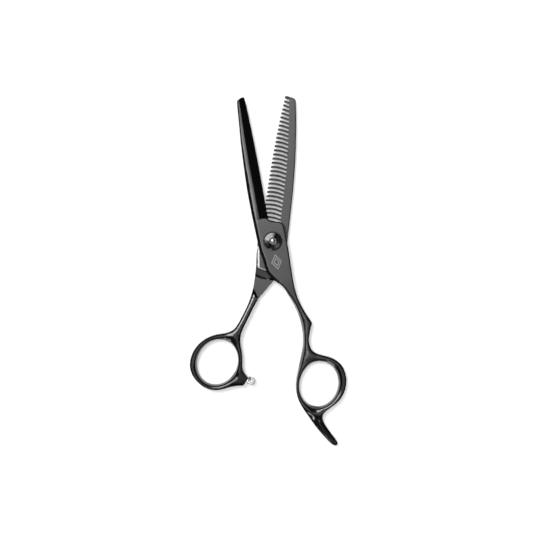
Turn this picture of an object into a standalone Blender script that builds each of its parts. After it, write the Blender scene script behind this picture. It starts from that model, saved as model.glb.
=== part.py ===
"""Thinning shears, 6.0 inch class: a plain half over a toothed half on one adjustable pivot.

Metres, +Z up.  The shears lie flat.  The origin is on the pivot axis, in the plane that they
lie on.  +Z is the pivot axis and +Y runs along the blades.  Each half is drawn closed, in
millimetres, with its blade along +Y, and is then swung open about the pivot.
"""
import math

import bmesh
import bpy
import numpy as np
from mathutils import Matrix, Vector
from mathutils.geometry import delaunay_2d_cdt

for old in list(bpy.data.objects):
    bpy.data.objects.remove(old, do_unlink=True)

MM = 0.001

# Opening of the halves at rest, in degrees about +Z from the closed position.
PLAIN_ANGLE = 11.4
TOOTHED_ANGLE = -4.8

# Heights, from the plane that the shears lie on.
LOWER_FACE = 0.0          # outer face of the toothed half
LOWER_INNER = 3.0         # inner face of the toothed half
UPPER_INNER = 3.3         # inner face of the plain half
UPPER_FACE = 6.3          # outer face of the plain half
HANDLE_TOP = 5.6          # top of the shanks and finger rings
CLEARANCE = 0.3           # between pieces that touch

# Mesh density.
STEP = 2.4                # between points along an outline
GRID = 4.0                # between points inside a face
ROUND_STEPS = 2           # facets across a rounded edge
TURNED_STEPS = 32         # facets round a turned piece
SMALL_STEPS = 20          # facets round a small one
RING_STEPS = 96           # facets round the pivot, for the reliefs

# Edge rounding: width across and height down.
PLATE_EDGE = (1.0, 0.8)
HANDLE_EDGE = (1.9, 1.6)
UNDER_EDGE = (1.4, 1.4)
FINE_EDGE = (0.12, 0.12)
EDGE_SHARE = 0.42         # of the metal's own width, the most that a rounded edge takes

# The blades: how much thinner at the tip, and how far the ground faces stay from the inner faces.
BLADE_START_Y = 10.0
BLADE_LENGTH = 58.0
TAPER = 1.3
FLANK_FALL = 0.02, 0.065  # of the plain blade's back, straight and curved
KNIFE_EDGE = 0.35
TOOTH_EDGE = 0.9
KNIFE_SHOULDER_Y = 11.3
COMB_SHOULDER_Y = 7.0

# Teeth.
SLOTS = 30
SLOT_PITCH = 1.976
SLOT_WIDTH = 1.0
SLOT_RADIUS = 14.6        # of the curved slots
SLOT_LEAN = math.radians(20.0)
SLOT_ARC = 12.5           # length of a slot, past the tips of the teeth
FIRST_SLOT_Y = 9.5        # root end of the slot nearest the pivot

# Pivot stack: radii and heights.
BOLT_HEAD = (4.0, 0.9)
BOLT_KEY_SIDE = 4.2
BOLT_SHANK_RADIUS = 1.8
BOLT_END_RADIUS = 1.2
BOLT_END_TOP = 8.4
WASHER_RADII = (2.1, 3.9)
BUSH_RADIUS = 2.5
COUNTERBORE = (4.5, 4.9)  # radius and floor height, in the plain half
DIAL_RADIUS = 4.15
DIAL_SLOT_WIDTH = 0.9
DIAL_SLOT_ANGLE = 58.0
DIAL_LOW = 6.5
DIAL_HUB = (1.72, 8.18)   # radius and height where the dome starts
DIAL_STEPS = 3
DIAL_SLOPE = 0.28
DIAL_GROOVE = 0.04
SPRING = (3.4, 0.35)      # radius and thickness
CLICK_RADII = (3.85, 4.1)
CLICKS = 20
SPANNER_HOLE = (0.5, 2.6) # radius, and distance from the axis
STUD_RADIUS = 1.0
STUD_DEPTH = 2.3

# Bumper on the thumb ring: where its axis leaves the lug, and its direction.
BUMPER_AT = Vector((-6.4, -65.9, HANDLE_TOP / 2))
BUMPER_LEAN = -15.8

# The plate of the toothed half ends at a slanting wall, where its shank rises to full height.
STEP_UP_Y = -16.0
WALL_FOOT = ((-8.55, -20.5), (-3.6, -28.7))
WALL_RUN = 1.3

# Ride pad of the toothed half: its outer side, bevel and lowered strip, and the relief behind it.
PAD_SIDE = ((-7.1, -2.6), (-6.3, -4.7), (-5.95, -8.5), (-5.6, -12.2), (-5.3, -15.5))
PAD_BEVEL = (1.65, 0.45)  # width of the bevelling cutter, inside and outside of the pad's side
PAD_BEVEL_DEPTH = 0.12
PAD_STRIP_DEPTH = 0.32
RELIEF_RADII = (13.9, 18.4)
RELIEF_DEPTH = 0.6
OVER = 0.2                # that a cutter stands over the face it cuts

# Plain half, closed: smooth runs that meet in corners, anticlockwise from the blade's tip.
PLAIN_RUNS = (
    # spine, boss, crotch, inner side of the shank, finger ring and finger rest
    ((-3.5, 67.9), (-3.9, 65.0), (-4.7, 57.0), (-5.6, 48.5), (-6.2, 40.5), (-6.8, 31.5),
     (-7.15, 22.0), (-7.2, 12.0), (-7.1, 3.0), (-6.95, -3.5), (-6.3, -7.5), (-6.0, -11.0),
     (-5.5, -14.0), (-3.1, -18.0), (0.3, -21.6), (2.1, -26.0), (3.6, -30.2), (4.6, -34.2),
     (5.3, -38.2), (5.5, -42.0), (5.2, -46.0), (4.5, -49.8), (3.4, -53.4), (1.9, -57.0),
     (0.3, -60.6), (-1.2, -64.0), (-2.4, -67.5), (-3.0, -70.5), (-3.1, -73.5), (-2.5, -77.0),
     (-1.0, -81.2), (0.8, -85.4), (2.7, -89.6), (5.1, -94.0), (7.7, -98.1), (9.0, -99.6),
     (10.1, -100.1), (11.0, -99.8), (11.1, -98.8), (10.4, -96.9), (9.3, -94.7), (8.3, -92.5),
     (7.4, -90.4), (6.7, -88.3), (6.5, -86.3), (7.1, -84.5), (9.0, -83.0), (11.7, -81.8),
     (14.5, -80.4), (17.0, -78.5), (19.2, -75.6), (20.7, -72.1), (21.2, -68.3), (20.5, -64.3),
     (18.6, -61.2), (15.4, -58.7), (11.8, -56.9), (9.2, -55.3), (7.8, -53.5), (7.3, -51.2),
     (7.6, -48.3), (8.4, -45.8), (9.5, -43.3), (10.5, -41.2)),
    # spur, outer side of the shank and boss
    ((10.5, -41.2), (9.7, -39.1), (8.6, -36.4), (7.6, -33.6), (6.7, -30.5), (6.1, -27.6),
     (5.8, -24.5), (5.7, -21.0), (5.9, -15.2), (6.3, -7.6), (6.5, -1.6), (6.55, 5.3)),
    # heel of the blade
    ((6.55, 5.3), (6.2, 7.0), (4.9, 8.2), (3.0, 8.8), (1.4, 9.3), (0.2, 10.2), (-0.1, 11.2)),
    # cutting edge
    ((-0.1, 11.2), (0.15, 20.6), (0.35, 30.0), (0.5, 40.0), (0.55, 49.0), (0.5, 57.0),
     (0.4, 65.0), (0.2, 68.7)),
    # tip
    ((0.2, 68.7), (-0.1, 69.15), (-1.0, 69.15), (-2.2, 68.6), (-3.5, 67.9)),
)
PLAIN_RING = ((8.1, -70.4), 10.7, 9.15, -23.5)      # centre, half axes, lean of the long one

# Toothed half, closed, in the same way.
TOOTHED_RUNS = (
    # tip
    ((5.2, 67.3), (4.4, 68.1), (2.6, 68.6), (1.2, 68.9), (0.1, 68.8)),
    # tips of the teeth
    ((0.1, 68.8), (-1.9, 54.2), (-3.2, 42.0), (-4.1, 31.0), (-4.8, 20.3), (-5.2, 12.0),
     (-5.3, 8.6)),
    # heel, boss, outer side of the shank, thumb ring
    ((-5.3, 8.6), (-6.4, 7.5), (-7.0, 5.5), (-7.15, 0.0), (-7.1, -8.5), (-6.9, -12.5),
     (-7.0, -17.0), (-7.3, -22.0), (-7.9, -25.8), (-8.9, -29.7), (-10.3, -33.6),
     (-11.9, -37.5), (-13.2, -40.3), (-14.8, -42.8), (-17.7, -44.6), (-22.9, -46.0),
     (-27.3, -48.1), (-30.9, -51.4), (-33.2, -55.6), (-34.0, -60.2), (-33.3, -64.0),
     (-31.0, -67.6), (-26.6, -70.9), (-21.8, -72.0), (-18.2, -71.4), (-14.8, -70.1),
     (-11.4, -69.1), (-8.0, -68.6)),
    # lug of the bumper
    ((-8.0, -68.6), (-6.2, -64.9)),
    # inner side of the shank
    ((-6.2, -64.9), (-7.4, -63.6), (-8.8, -61.8), (-9.4, -59.5), (-9.6, -57.0),
     (-9.9, -54.4), (-10.6, -51.5), (-11.2, -48.8), (-11.4, -46.5), (-11.1, -44.3),
     (-10.4, -41.8), (-9.3, -39.0), (-7.9, -35.4), (-6.3, -31.4), (-4.4, -27.3)),
    # crotch
    ((-4.4, -27.3), (4.6, -14.8)),
    # boss and spine
    ((4.6, -14.8), (5.9, -12.2), (6.4, -8.5), (6.75, -4.0), (6.9, 1.0), (7.1, 7.6),
     (7.3, 15.2), (7.5, 24.0), (7.45, 34.0), (7.2, 43.5), (6.65, 52.5), (5.95, 60.6),
     (5.2, 67.3)),
)
THUMB_RING = ((-21.3, -59.0), 10.85, 9.45, -19.0)

# Lines along the blades, as (x, y) from the pivot to the tip.
PLAIN_RIDGE = ((-4.1, 10.8), (-4.05, 16.0), (-3.9, 26.0), (-3.8, 38.0), (-3.3, 52.0), (-2.6, 67.0))
SLOT_ROOTS = ((2.9, 9.5), (3.4, 21.3), (3.75, 33.7), (3.65, 43.0), (3.3, 53.0), (2.3, 66.8))

STEEL_LOOK = ((0.035, 0.035, 0.037, 1.0), 0.35, 1.0)
LOOKS = {
    "plain_half": STEEL_LOOK,
    "toothed_half": STEEL_LOOK,
    "pivot_bolt": ((0.10, 0.10, 0.105, 1.0), 0.25, 1.0),
    "friction_washer": ((0.75, 0.74, 0.70, 1.0), 0.55, 0.0),
    "pivot_bush": ((0.80, 0.79, 0.75, 1.0), 0.50, 0.0),
    "click_plate": ((0.45, 0.45, 0.46, 1.0), 0.30, 1.0),
    "leaf_spring": ((0.50, 0.48, 0.44, 1.0), 0.30, 1.0),
    "tension_dial": ((0.06, 0.06, 0.065, 1.0), 0.18, 1.0),
    "bumper_stud": ((0.62, 0.62, 0.63, 1.0), 0.20, 1.0),
    "bumper_cap": ((0.90, 0.91, 0.92, 1.0), 0.25, 0.0),
}


# Curves in the plane -----------------------------------------------------------------------

def smooth_run(points, step):
    """Points about one step apart on a smooth curve through the given ones, the last left out."""
    given = [Vector(point) for point in points]
    given = [2 * given[0] - given[1]] + given + [2 * given[-1] - given[-2]]
    result = []
    for before, start, end, after in zip(given, given[1:], given[2:], given[3:]):
        gaps = [math.sqrt((b - a).length) for a, b in ((before, start), (start, end), (end, after))]
        leave = (start - before) / gaps[0] - (end - before) / (gaps[0] + gaps[1])
        leave = (leave + (end - start) / gaps[1]) * gaps[1]
        arrive = (end - start) / gaps[1] - (after - start) / (gaps[1] + gaps[2])
        arrive = (arrive + (after - end) / gaps[2]) * gaps[1]
        count = max(1, round((end - start).length / step))
        for index in range(count):
            t = index / count
            result.append(
                start * (2 * t**3 - 3 * t**2 + 1) + leave * (t**3 - 2 * t**2 + t)
                + end * (3 * t**2 - 2 * t**3) + arrive * (t**3 - t**2)
            )
    return result


def outline(runs, step):
    return [point for run in runs for point in smooth_run(run, step)]


def ring_hole(ring, step):
    """A finger hole: an ellipse, clockwise, so that the metal is on its left."""
    (x, y), long_half, short_half, lean = ring
    count = round(math.pi * (long_half + short_half) / step)
    turn = Matrix.Rotation(math.radians(lean), 2)
    points = []
    for index in range(count):
        angle = -2 * math.pi * index / count
        along = Vector((short_half * math.cos(angle), long_half * math.sin(angle)))
        points.append(turn @ along + Vector((x, y)))
    return points


def line_x(points, y):
    """Where a line along the blade is, at a distance y from the pivot."""
    return float(np.interp(y, [point[1] for point in points], [point[0] for point in points]))


def ramp(value, low, high):
    """0 below low, 1 above high, and a smooth rise between."""
    t = min(max((value - low) / (high - low), 0.0), 1.0)
    return t * t * (3 - 2 * t)


def mixed(first, second, share):
    return tuple(a + (b - a) * share for a, b in zip(first, second))


# Faces of the halves: height, edge width and edge height at a place ---------------------------

def blade_taper(y):
    """How much a blade has thinned at a distance y from the pivot."""
    return TAPER * min(max((y - BLADE_START_Y) / BLADE_LENGTH, 0.0), 1.0)


def plain_top(x, y):
    shank = ramp(-y, 18.0, 34.0)
    blade = ramp(y, 9.0, 20.0)
    straight, curved = FLANK_FALL
    flank = max(line_x(PLAIN_RIDGE, y) - x, 0.0)
    z = UPPER_FACE - shank * (UPPER_FACE - HANDLE_TOP) - blade_taper(y)
    z -= blade * (straight * flank + curved * flank * flank)
    edge = mixed(PLATE_EDGE, HANDLE_EDGE, shank)
    if x > -2.0 and y > KNIFE_SHOULDER_Y:
        edge = FINE_EDGE
    return z, edge


def plain_bottom(x, y):
    shank = ramp(-y, 23.0, 28.0)
    z = UPPER_INNER - shank * (UPPER_INNER - LOWER_FACE)
    return z, mixed(FINE_EDGE, UNDER_EDGE, shank)


def toothed_top(x, y):
    if y < STEP_UP_Y:
        return HANDLE_TOP, HANDLE_EDGE
    return LOWER_INNER, FINE_EDGE


def toothed_bottom(x, y):
    shank = ramp(-y, 18.0, 34.0)
    edge = mixed(PLATE_EDGE, UNDER_EDGE, shank)
    if x < 2.0 and y > 5.0:
        edge = FINE_EDGE
    return LOWER_FACE + blade_taper(y), edge


# Meshes --------------------------------------------------------------------------------------

def inward_normals(loop):
    """Unit normals towards the metal, which is on the left of the loop."""
    normals = []
    for index, point in enumerate(loop):
        ahead = (loop[(index + 1) % len(loop)] - point).normalized()
        behind = (point - loop[index - 1]).normalized()
        along = (ahead + behind).normalized()
        normals.append(Vector((-along.y, along.x)))
    return normals


def reach_across(loops, normals):
    """For each outline point, how far the metal reaches along its inward normal."""
    starts = np.array([point for loop in loops for point in loop])
    ends = np.array([loop[(index + 1) % len(loop)] for loop in loops for index in range(len(loop))])
    ways = ends - starts
    reaches = []
    for start, normal in zip(starts, [n for group in normals for n in group]):
        across = normal.x * ways[:, 1] - normal.y * ways[:, 0]
        across[np.abs(across) < 1e-9] = 1e-9
        gap = starts - start
        far = (gap[:, 0] * ways[:, 1] - gap[:, 1] * ways[:, 0]) / across
        place = (gap[:, 0] * normal.y - gap[:, 1] * normal.x) / across
        hit = (far > 0.05) & (place >= -1e-6) & (place <= 1 + 1e-6)
        reaches.append(float(far[hit].min()) if hit.any() else 1.0)
    return reaches


def edge_limits(loop, normals, reaches):
    """The widest rounded edge at each outline point: a share of the metal, never folding over."""
    limits = [EDGE_SHARE * reach for reach in reaches]
    limits = [min(limits[i - 1], limits[i], limits[i + 1 - len(loop)]) for i in range(len(loop))]
    folded = True
    while folded:
        folded = False
        for i in range(len(loop)):
            j = (i + 1) % len(loop)
            side = loop[j] - loop[i]
            inner = side + normals[j] * limits[j] - normals[i] * limits[i]
            if inner.dot(side) < 0.3 * side.length_squared:
                limits[i] *= 0.9
                limits[j] *= 0.9
                folded = True
    return limits


def inside(points, loops):
    """Which points are in the metal, by counting outline crossings."""
    points = np.asarray(points)
    odd = np.zeros(len(points), dtype=bool)
    for loop in loops:
        for a, b in zip(loop, loop[1:] + loop[:1]):
            if a[1] == b[1]:
                continue
            spans = (a[1] > points[:, 1]) != (b[1] > points[:, 1])
            crossing = a[0] + (points[:, 1] - a[1]) * (b[0] - a[0]) / (b[1] - a[1])
            odd ^= spans & (points[:, 0] < crossing)
    return odd


def cap(bm, rows, height, upward, grid):
    """Fill the inner edge of a face with triangles whose heights follow the face."""
    loops = [[(vert.co.x, vert.co.y) for vert in row] for row in rows]
    rim = np.array([point for loop in loops for point in loop])
    low, high = rim.min(axis=0), rim.max(axis=0)
    xs = np.arange(low[0] + grid / 2, high[0], grid)
    ys = np.arange(low[1] + grid / 2, high[1], grid)
    candidates = np.array([(x, y) for x in xs for y in ys])
    candidates = candidates[inside(candidates, loops)]
    nearest = np.sqrt(((candidates[:, None] - rim[None]) ** 2).sum(axis=2)).min(axis=1)
    candidates = candidates[nearest > 0.55 * grid]
    verts = [vert for row in rows for vert in row]
    verts += [bm.verts.new((x, y, height(x, y)[0])) for x, y in candidates]
    edges = []
    first = 0
    for loop in loops:
        edges += [(first + i, first + (i + 1) % len(loop)) for i in range(len(loop))]
        first += len(loop)
    flat = [Vector(vert.co[:2]) for vert in verts]
    found, _, triangles, sources, _, _ = delaunay_2d_cdt(flat, edges, [], 0, 1e-7)
    middles = [sum((found[i] for i in triangle), Vector((0, 0))) / 3 for triangle in triangles]
    for triangle, keep in zip(triangles, inside(middles, loops)):
        if keep:
            corners = [verts[sources[i][0]] for i in triangle]
            bm.faces.new(corners if upward else corners[::-1])


def plate(loops, top, bottom, grid, round_steps):
    """A flat solid with the given outlines, whose two faces and rounded edges follow functions."""
    bm = bmesh.new()
    normals = [inward_normals(loop) for loop in loops]
    reaches = iter(reach_across(loops, normals))
    bands = []
    for loop, ways in zip(loops, normals):
        limits = edge_limits(loop, ways, [next(reaches) for _ in loop])
        rows = []
        for face, sign, order in ((bottom, 1, range(round_steps, -1, -1)), (top, -1, range(round_steps + 1))):
            for step in order:
                angle = math.pi / 2 * step / round_steps
                row = []
                for point, way, limit in zip(loop, ways, limits):
                    _, (width, depth) = face(point.x, point.y)
                    place = point + way * min(width, limit) * (1 - math.cos(angle))
                    height = face(place.x, place.y)[0] + sign * depth * (1 - math.sin(angle))
                    row.append(bm.verts.new((place.x, place.y, height)))
                rows.append(row)
        for lower, upper in zip(rows, rows[1:]):
            for i in range(len(loop)):
                j = (i + 1) % len(loop)
                bm.faces.new((lower[i], lower[j], upper[j], upper[i]))
        bands.append(rows)
    cap(bm, [rows[-1] for rows in bands], top, True, grid)
    cap(bm, [rows[0] for rows in bands], bottom, False, grid)
    bmesh.ops.triangulate(bm, faces=[face for face in bm.faces if len(face.verts) > 3])
    return bm


def prism(bm, points, low, high):
    """Add an upright prism on a closed outline."""
    base = bm.faces.new([bm.verts.new((point[0], point[1], low)) for point in points])
    bm.normal_update()
    if base.normal.z > 0:
        base.normal_flip()
    walls = bmesh.ops.extrude_face_region(bm, geom=[base], use_keep_orig=True)
    moved = [item for item in walls["geom"] if isinstance(item, bmesh.types.BMVert)]
    bmesh.ops.translate(bm, verts=moved, vec=(0, 0, high - low))
    bmesh.ops.recalc_face_normals(bm, faces=bm.faces)


def circle(radius, steps, centre=(0.0, 0.0)):
    angles = [2 * math.pi * (index + 0.5) / steps for index in range(steps)]
    return [(centre[0] + radius * math.cos(a), centre[1] + radius * math.sin(a)) for a in angles]


def square(side):
    half = side / 2
    return [(-half, -half), (half, -half), (half, half), (-half, half)]


def turned(profile, steps, closed):
    """A turned piece: a (radius, height) profile spun about Z, closed or from axis to axis."""
    bm = bmesh.new()
    verts = [bm.verts.new((radius, 0, height)) for radius, height in profile]
    edges = [bm.edges.new(pair) for pair in zip(verts, verts[1:])]
    if closed:
        edges.append(bm.edges.new((verts[-1], verts[0])))
    bmesh.ops.spin(bm, geom=verts + edges, cent=(0, 0, 0), axis=(0, 0, 1),
                   angle=2 * math.pi, steps=steps, use_merge=True)
    bmesh.ops.remove_doubles(bm, verts=bm.verts, dist=1e-5)
    bmesh.ops.recalc_face_normals(bm, faces=bm.faces)
    return bm


# Objects -------------------------------------------------------------------------------------

def make_object(name, bm, angle, place=Matrix.Identity(4)):
    """Turn a mesh in millimetres into an object in metres, swung about the pivot."""
    bm.transform(Matrix.Scale(MM, 4) @ place)
    mesh = bpy.data.meshes.new(name)
    bm.to_mesh(mesh)
    bm.free()
    obj = bpy.data.objects.new(name, mesh)
    obj.rotation_euler.z = math.radians(angle)
    bpy.context.scene.collection.objects.link(obj)
    return obj


def make_part(name, bm, angle, place=Matrix.Identity(4)):
    part = make_object(name, bm, angle, place)
    colour, roughness, metallic = LOOKS[name]
    material = bpy.data.materials.new(name)
    material.use_nodes = True
    shader = material.node_tree.nodes["Principled BSDF"]
    shader.inputs["Base Color"].default_value = colour
    shader.inputs["Roughness"].default_value = roughness
    shader.inputs["Metallic"].default_value = metallic
    part.data.materials.append(material)
    part.data.shade_smooth()
    part.data.set_sharp_from_angle(angle=math.radians(35))
    return part


def cut(part, name, bm, place=Matrix.Identity(4)):
    """Take a shape, drawn in the same closed position, out of a part."""
    cutter = make_object(name, bm, math.degrees(part.rotation_euler.z), place)
    cutter.hide_render = True
    cutter.display_type = "WIRE"
    modifier = part.modifiers.new(name, "BOOLEAN")
    modifier.operation = "DIFFERENCE"
    modifier.solver = "EXACT"
    modifier.object = cutter


# Cutting shapes --------------------------------------------------------------------------------

def ground_face(ridge, edge, side, shoulder_y):
    """A wedge that grinds a blade from its ridge line down to its edge line.

    ridge and edge give (x, height) at a distance y from the pivot.  side is +1 where the wedge
    lies above the blade and -1 where it lies below.
    """
    bm = bmesh.new()
    rows = []
    for y in (shoulder_y, 16.0, 22.0, 30.0, 38.0, 46.0, 54.0, 62.0, 72.0):
        (ridge_x, ridge_z), (edge_x, edge_z) = ridge(y), edge(y)
        run, rise = edge_x - ridge_x, edge_z - ridge_z
        near = (ridge_x - 0.4 * run, ridge_z - 0.4 * rise)
        far = (edge_x + 0.4 * run, edge_z + 0.4 * rise)
        away = side * 12.0
        corners = (near, far, (far[0], away), (near[0], away))
        rows.append([bm.verts.new((x, y, z)) for x, z in corners])
    for first, second in zip(rows, rows[1:]):
        for i in range(4):
            bm.faces.new((first[i], first[(i + 1) % 4], second[(i + 1) % 4], second[i]))
    bm.faces.new(rows[0])
    bm.faces.new(rows[-1])
    bmesh.ops.recalc_face_normals(bm, faces=bm.faces)
    return bm


def tooth_slots(low, high, arc_steps):
    """The curved slots between the teeth, each with a round root."""
    bm = bmesh.new()
    half = SLOT_WIDTH / 2
    for index in range(SLOTS):
        y = FIRST_SLOT_Y + index * SLOT_PITCH
        root = Vector((line_x(SLOT_ROOTS, y) - half, y))
        centre = root - SLOT_RADIUS * Vector((math.sin(SLOT_LEAN), math.cos(SLOT_LEAN)))
        start = math.pi / 2 - SLOT_LEAN
        end = start + SLOT_ARC / SLOT_RADIUS
        angles = [start + (end - start) * step / arc_steps for step in range(arc_steps + 1)]
        ways = [Vector((math.cos(angle), math.sin(angle))) for angle in angles]
        upper = [centre + way * (SLOT_RADIUS + half) for way in ways]
        lower = [centre + way * (SLOT_RADIUS - half) for way in ways]
        nose = root + Vector((math.cos(SLOT_LEAN), -math.sin(SLOT_LEAN))) * half
        prism(bm, upper[::-1] + [nose] + lower, low, high)
    return bm


def half_ring(profile, side):
    """The handle side of a ring turned about the pivot, as a closed solid."""
    bm = turned(profile if side > 0 else profile[::-1], RING_STEPS, True)
    front = [face for face in bm.faces if face.calc_center_median().y > 0]
    bmesh.ops.delete(bm, geom=front, context="FACES")
    bmesh.ops.holes_fill(bm, edges=[edge for edge in bm.edges if edge.is_boundary])
    bmesh.ops.recalc_face_normals(bm, faces=bm.faces)
    return bm


def relief(face_z, side):
    """The ring-shaped relief on an inner face, behind the ride pad."""
    inner, outer = RELIEF_RADII
    over = face_z + side * OVER
    floor = face_z - side * RELIEF_DEPTH
    return half_ring(((inner, over), (inner + 0.7, floor), (outer - 1.4, floor),
                      (outer, face_z), (outer + 0.2, over)), side)


def pad_foot(face_z):
    """The bevel round the end of the toothed half's ride pad."""
    inner = RELIEF_RADII[0]
    return half_ring(((inner - 1.9, face_z + OVER), (inner + 0.9, face_z - PAD_BEVEL_DEPTH),
                      (inner + 1.0, face_z + OVER)), 1)


def swept(sections):
    """A closed solid through sections of four corners each."""
    bm = bmesh.new()
    rows = [[bm.verts.new(corner) for corner in section] for section in sections]
    for first, second in zip(rows, rows[1:]):
        for i in range(4):
            bm.faces.new((first[i], first[(i + 1) % 4], second[(i + 1) % 4], second[i]))
    bm.faces.new(rows[0])
    bm.faces.new(rows[-1])
    bmesh.ops.recalc_face_normals(bm, faces=bm.faces)
    return bm


def pad_bevel(face_z):
    """The bevel along the outer side of the toothed half's ride pad."""
    inside_side, outside_side = PAD_BEVEL
    over, foot = face_z + OVER, face_z - PAD_BEVEL_DEPTH
    return swept([((x + inside_side, y, over), (x - outside_side, y, foot),
                   (x - outside_side - 0.1, y, foot), (x - outside_side - 0.1, y, over))
                  for x, y in PAD_SIDE])


def pad_strip(face_z):
    """The lowered strip outside the bevel, as far as the plate's side."""
    near, far = PAD_BEVEL[1], 4.0
    over, floor = face_z + OVER, face_z - PAD_STRIP_DEPTH
    return swept([((x - near, y, over), (x - near, y, floor), (x - far, y, floor), (x - far, y, over))
                  for x, y in PAD_SIDE])


def plate_space():
    """The space above the toothed half's plate, up to the slanting wall where its shank rises."""
    foot_a, foot_b = (Vector(point) for point in WALL_FOOT)
    out = Vector((foot_b.y - foot_a.y, foot_a.x - foot_b.x)).normalized()
    height = HANDLE_TOP - LOWER_INNER
    lean = out * WALL_RUN
    front = STEP_UP_Y + GRID + STEP
    back_left, back_right, front_right = (-12.0, front), (9.0, foot_b.y), (9.0, front)
    bm = bmesh.new()
    rows = []
    for share in (0.0, 1.5):
        corners = (back_left, foot_a + lean * share, foot_b + lean * share, back_right, front_right)
        rows.append([bm.verts.new((*corner, LOWER_INNER + height * share)) for corner in corners])
    lower, upper = rows
    for i in range(len(lower)):
        j = (i + 1) % len(lower)
        bm.faces.new((lower[i], lower[j], upper[j], upper[i]))
    bm.faces.new(lower)
    bm.faces.new(upper)
    bmesh.ops.recalc_face_normals(bm, faces=bm.faces)
    return bm


def upright(radius, low, high, steps=TURNED_STEPS, centre=(0.0, 0.0)):
    bm = bmesh.new()
    prism(bm, circle(radius, steps, centre), low, high)
    return bm


# The two halves -------------------------------------------------------------------------------

def make_plain_half():
    """Upper half: knife blade, boss, shank with spur, finger ring and fixed finger rest."""
    loops = [outline(PLAIN_RUNS, STEP), ring_hole(PLAIN_RING, STEP)]
    half = make_part("plain_half", plate(loops, plain_top, plain_bottom, GRID, ROUND_STEPS), PLAIN_ANGLE)

    def ridge(y):
        x = line_x(PLAIN_RIDGE, y)
        return x, plain_top(x, y)[0]

    def edge(y):
        return line_x(PLAIN_RUNS[3], y), UPPER_INNER + KNIFE_EDGE

    cut(half, "plain_ground_face", ground_face(ridge, edge, 1, KNIFE_SHOULDER_Y))
    cut(half, "plain_relief", relief(UPPER_INNER, -1))
    cut(half, "plain_bore", upright(BUSH_RADIUS + CLEARANCE, UPPER_INNER - 1, UPPER_FACE + 1))
    cut(half, "plain_counterbore", upright(COUNTERBORE[0], COUNTERBORE[1], UPPER_FACE + 1))
    cut(half, "plain_washer_recess",
        upright(WASHER_RADII[1] + CLEARANCE, UPPER_INNER - 1, UPPER_INNER + CLEARANCE))


def make_toothed_half():
    """Lower half: comb blade, boss, shank, thumb ring and bumper lug."""
    loops = [outline(TOOTHED_RUNS, STEP), ring_hole(THUMB_RING, STEP)]
    half = make_part("toothed_half", plate(loops, toothed_top, toothed_bottom, GRID, ROUND_STEPS),
                     TOOTHED_ANGLE)

    def ridge(y):
        x = line_x(SLOT_ROOTS, y) + 1.0
        return x, toothed_bottom(x, y)[0]

    def edge(y):
        return line_x(TOOTHED_RUNS[1][::-1], y), LOWER_INNER - TOOTH_EDGE

    cut(half, "toothed_ground_face", ground_face(ridge, edge, -1, COMB_SHOULDER_Y))
    cut(half, "tooth_slots", tooth_slots(LOWER_FACE - 1, LOWER_INNER + 1, 6))
    cut(half, "toothed_relief", relief(LOWER_INNER, 1))
    cut(half, "plate_space", plate_space())
    cut(half, "pad_strip", pad_strip(LOWER_INNER))
    cut(half, "pad_foot", pad_foot(LOWER_INNER))
    cut(half, "pad_bevel", pad_bevel(LOWER_INNER))
    key_hole = bmesh.new()
    prism(key_hole, square(BOLT_KEY_SIDE + 2 * CLEARANCE), LOWER_FACE - 1, LOWER_INNER + 1)
    cut(half, "key_hole", key_hole)
    cut(half, "head_recess",
        upright(BOLT_HEAD[0] + CLEARANCE, LOWER_FACE - 1, BOLT_HEAD[1] + CLEARANCE))
    cut(half, "toothed_washer_recess",
        upright(WASHER_RADII[1] + CLEARANCE, LOWER_INNER - 0.6, LOWER_INNER + 1))
    cut(half, "stud_hole",
        upright(STUD_RADIUS + CLEARANCE, -STUD_DEPTH - CLEARANCE, 2.0, SMALL_STEPS), bumper_place())


# The pivot stack --------------------------------------------------------------------------------

def make_pivot_bolt():
    """Flush bolt: flat head with two spanner holes, square key, shank and domed end."""
    radius, thickness = BOLT_HEAD
    key_top = LOWER_INNER - 0.6
    head = turned(((0, thickness + 0.3), (BOLT_KEY_SIDE / 2 - 0.3, thickness + 0.3),
                   (BOLT_KEY_SIDE / 2 - 0.3, thickness), (radius, thickness), (radius, 0.15),
                   (radius - 0.15, 0), (0, 0)), TURNED_STEPS, False)
    bolt = make_part("pivot_bolt", head, TOOTHED_ANGLE)
    key = bmesh.new()
    prism(key, square(BOLT_KEY_SIDE), thickness - 0.2, key_top)
    shank = turned(((0, BOLT_END_TOP), (0.5, BOLT_END_TOP - 0.06), (0.95, BOLT_END_TOP - 0.25),
                    (BOLT_END_RADIUS, BOLT_END_TOP - 0.55), (BOLT_END_RADIUS, 6.9),
                    (BOLT_SHANK_RADIUS, 6.9), (BOLT_SHANK_RADIUS, key_top - 0.3),
                    (0, key_top - 0.3)), TURNED_STEPS, False)
    for name, bm in (("bolt_key", key), ("bolt_shank", shank)):
        piece = make_object(name, bm, TOOTHED_ANGLE)
        piece.hide_render = True
        piece.display_type = "WIRE"
        join = bolt.modifiers.new(name, "BOOLEAN")
        join.operation = "UNION"
        join.solver = "EXACT"
        join.object = piece
    hole_radius, hole_x = SPANNER_HOLE
    for name, x in (("spanner_hole_a", -hole_x), ("spanner_hole_b", hole_x)):
        cut(bolt, name, upright(hole_radius, -1, 0.5, SMALL_STEPS, (x, 0.0)))


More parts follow.
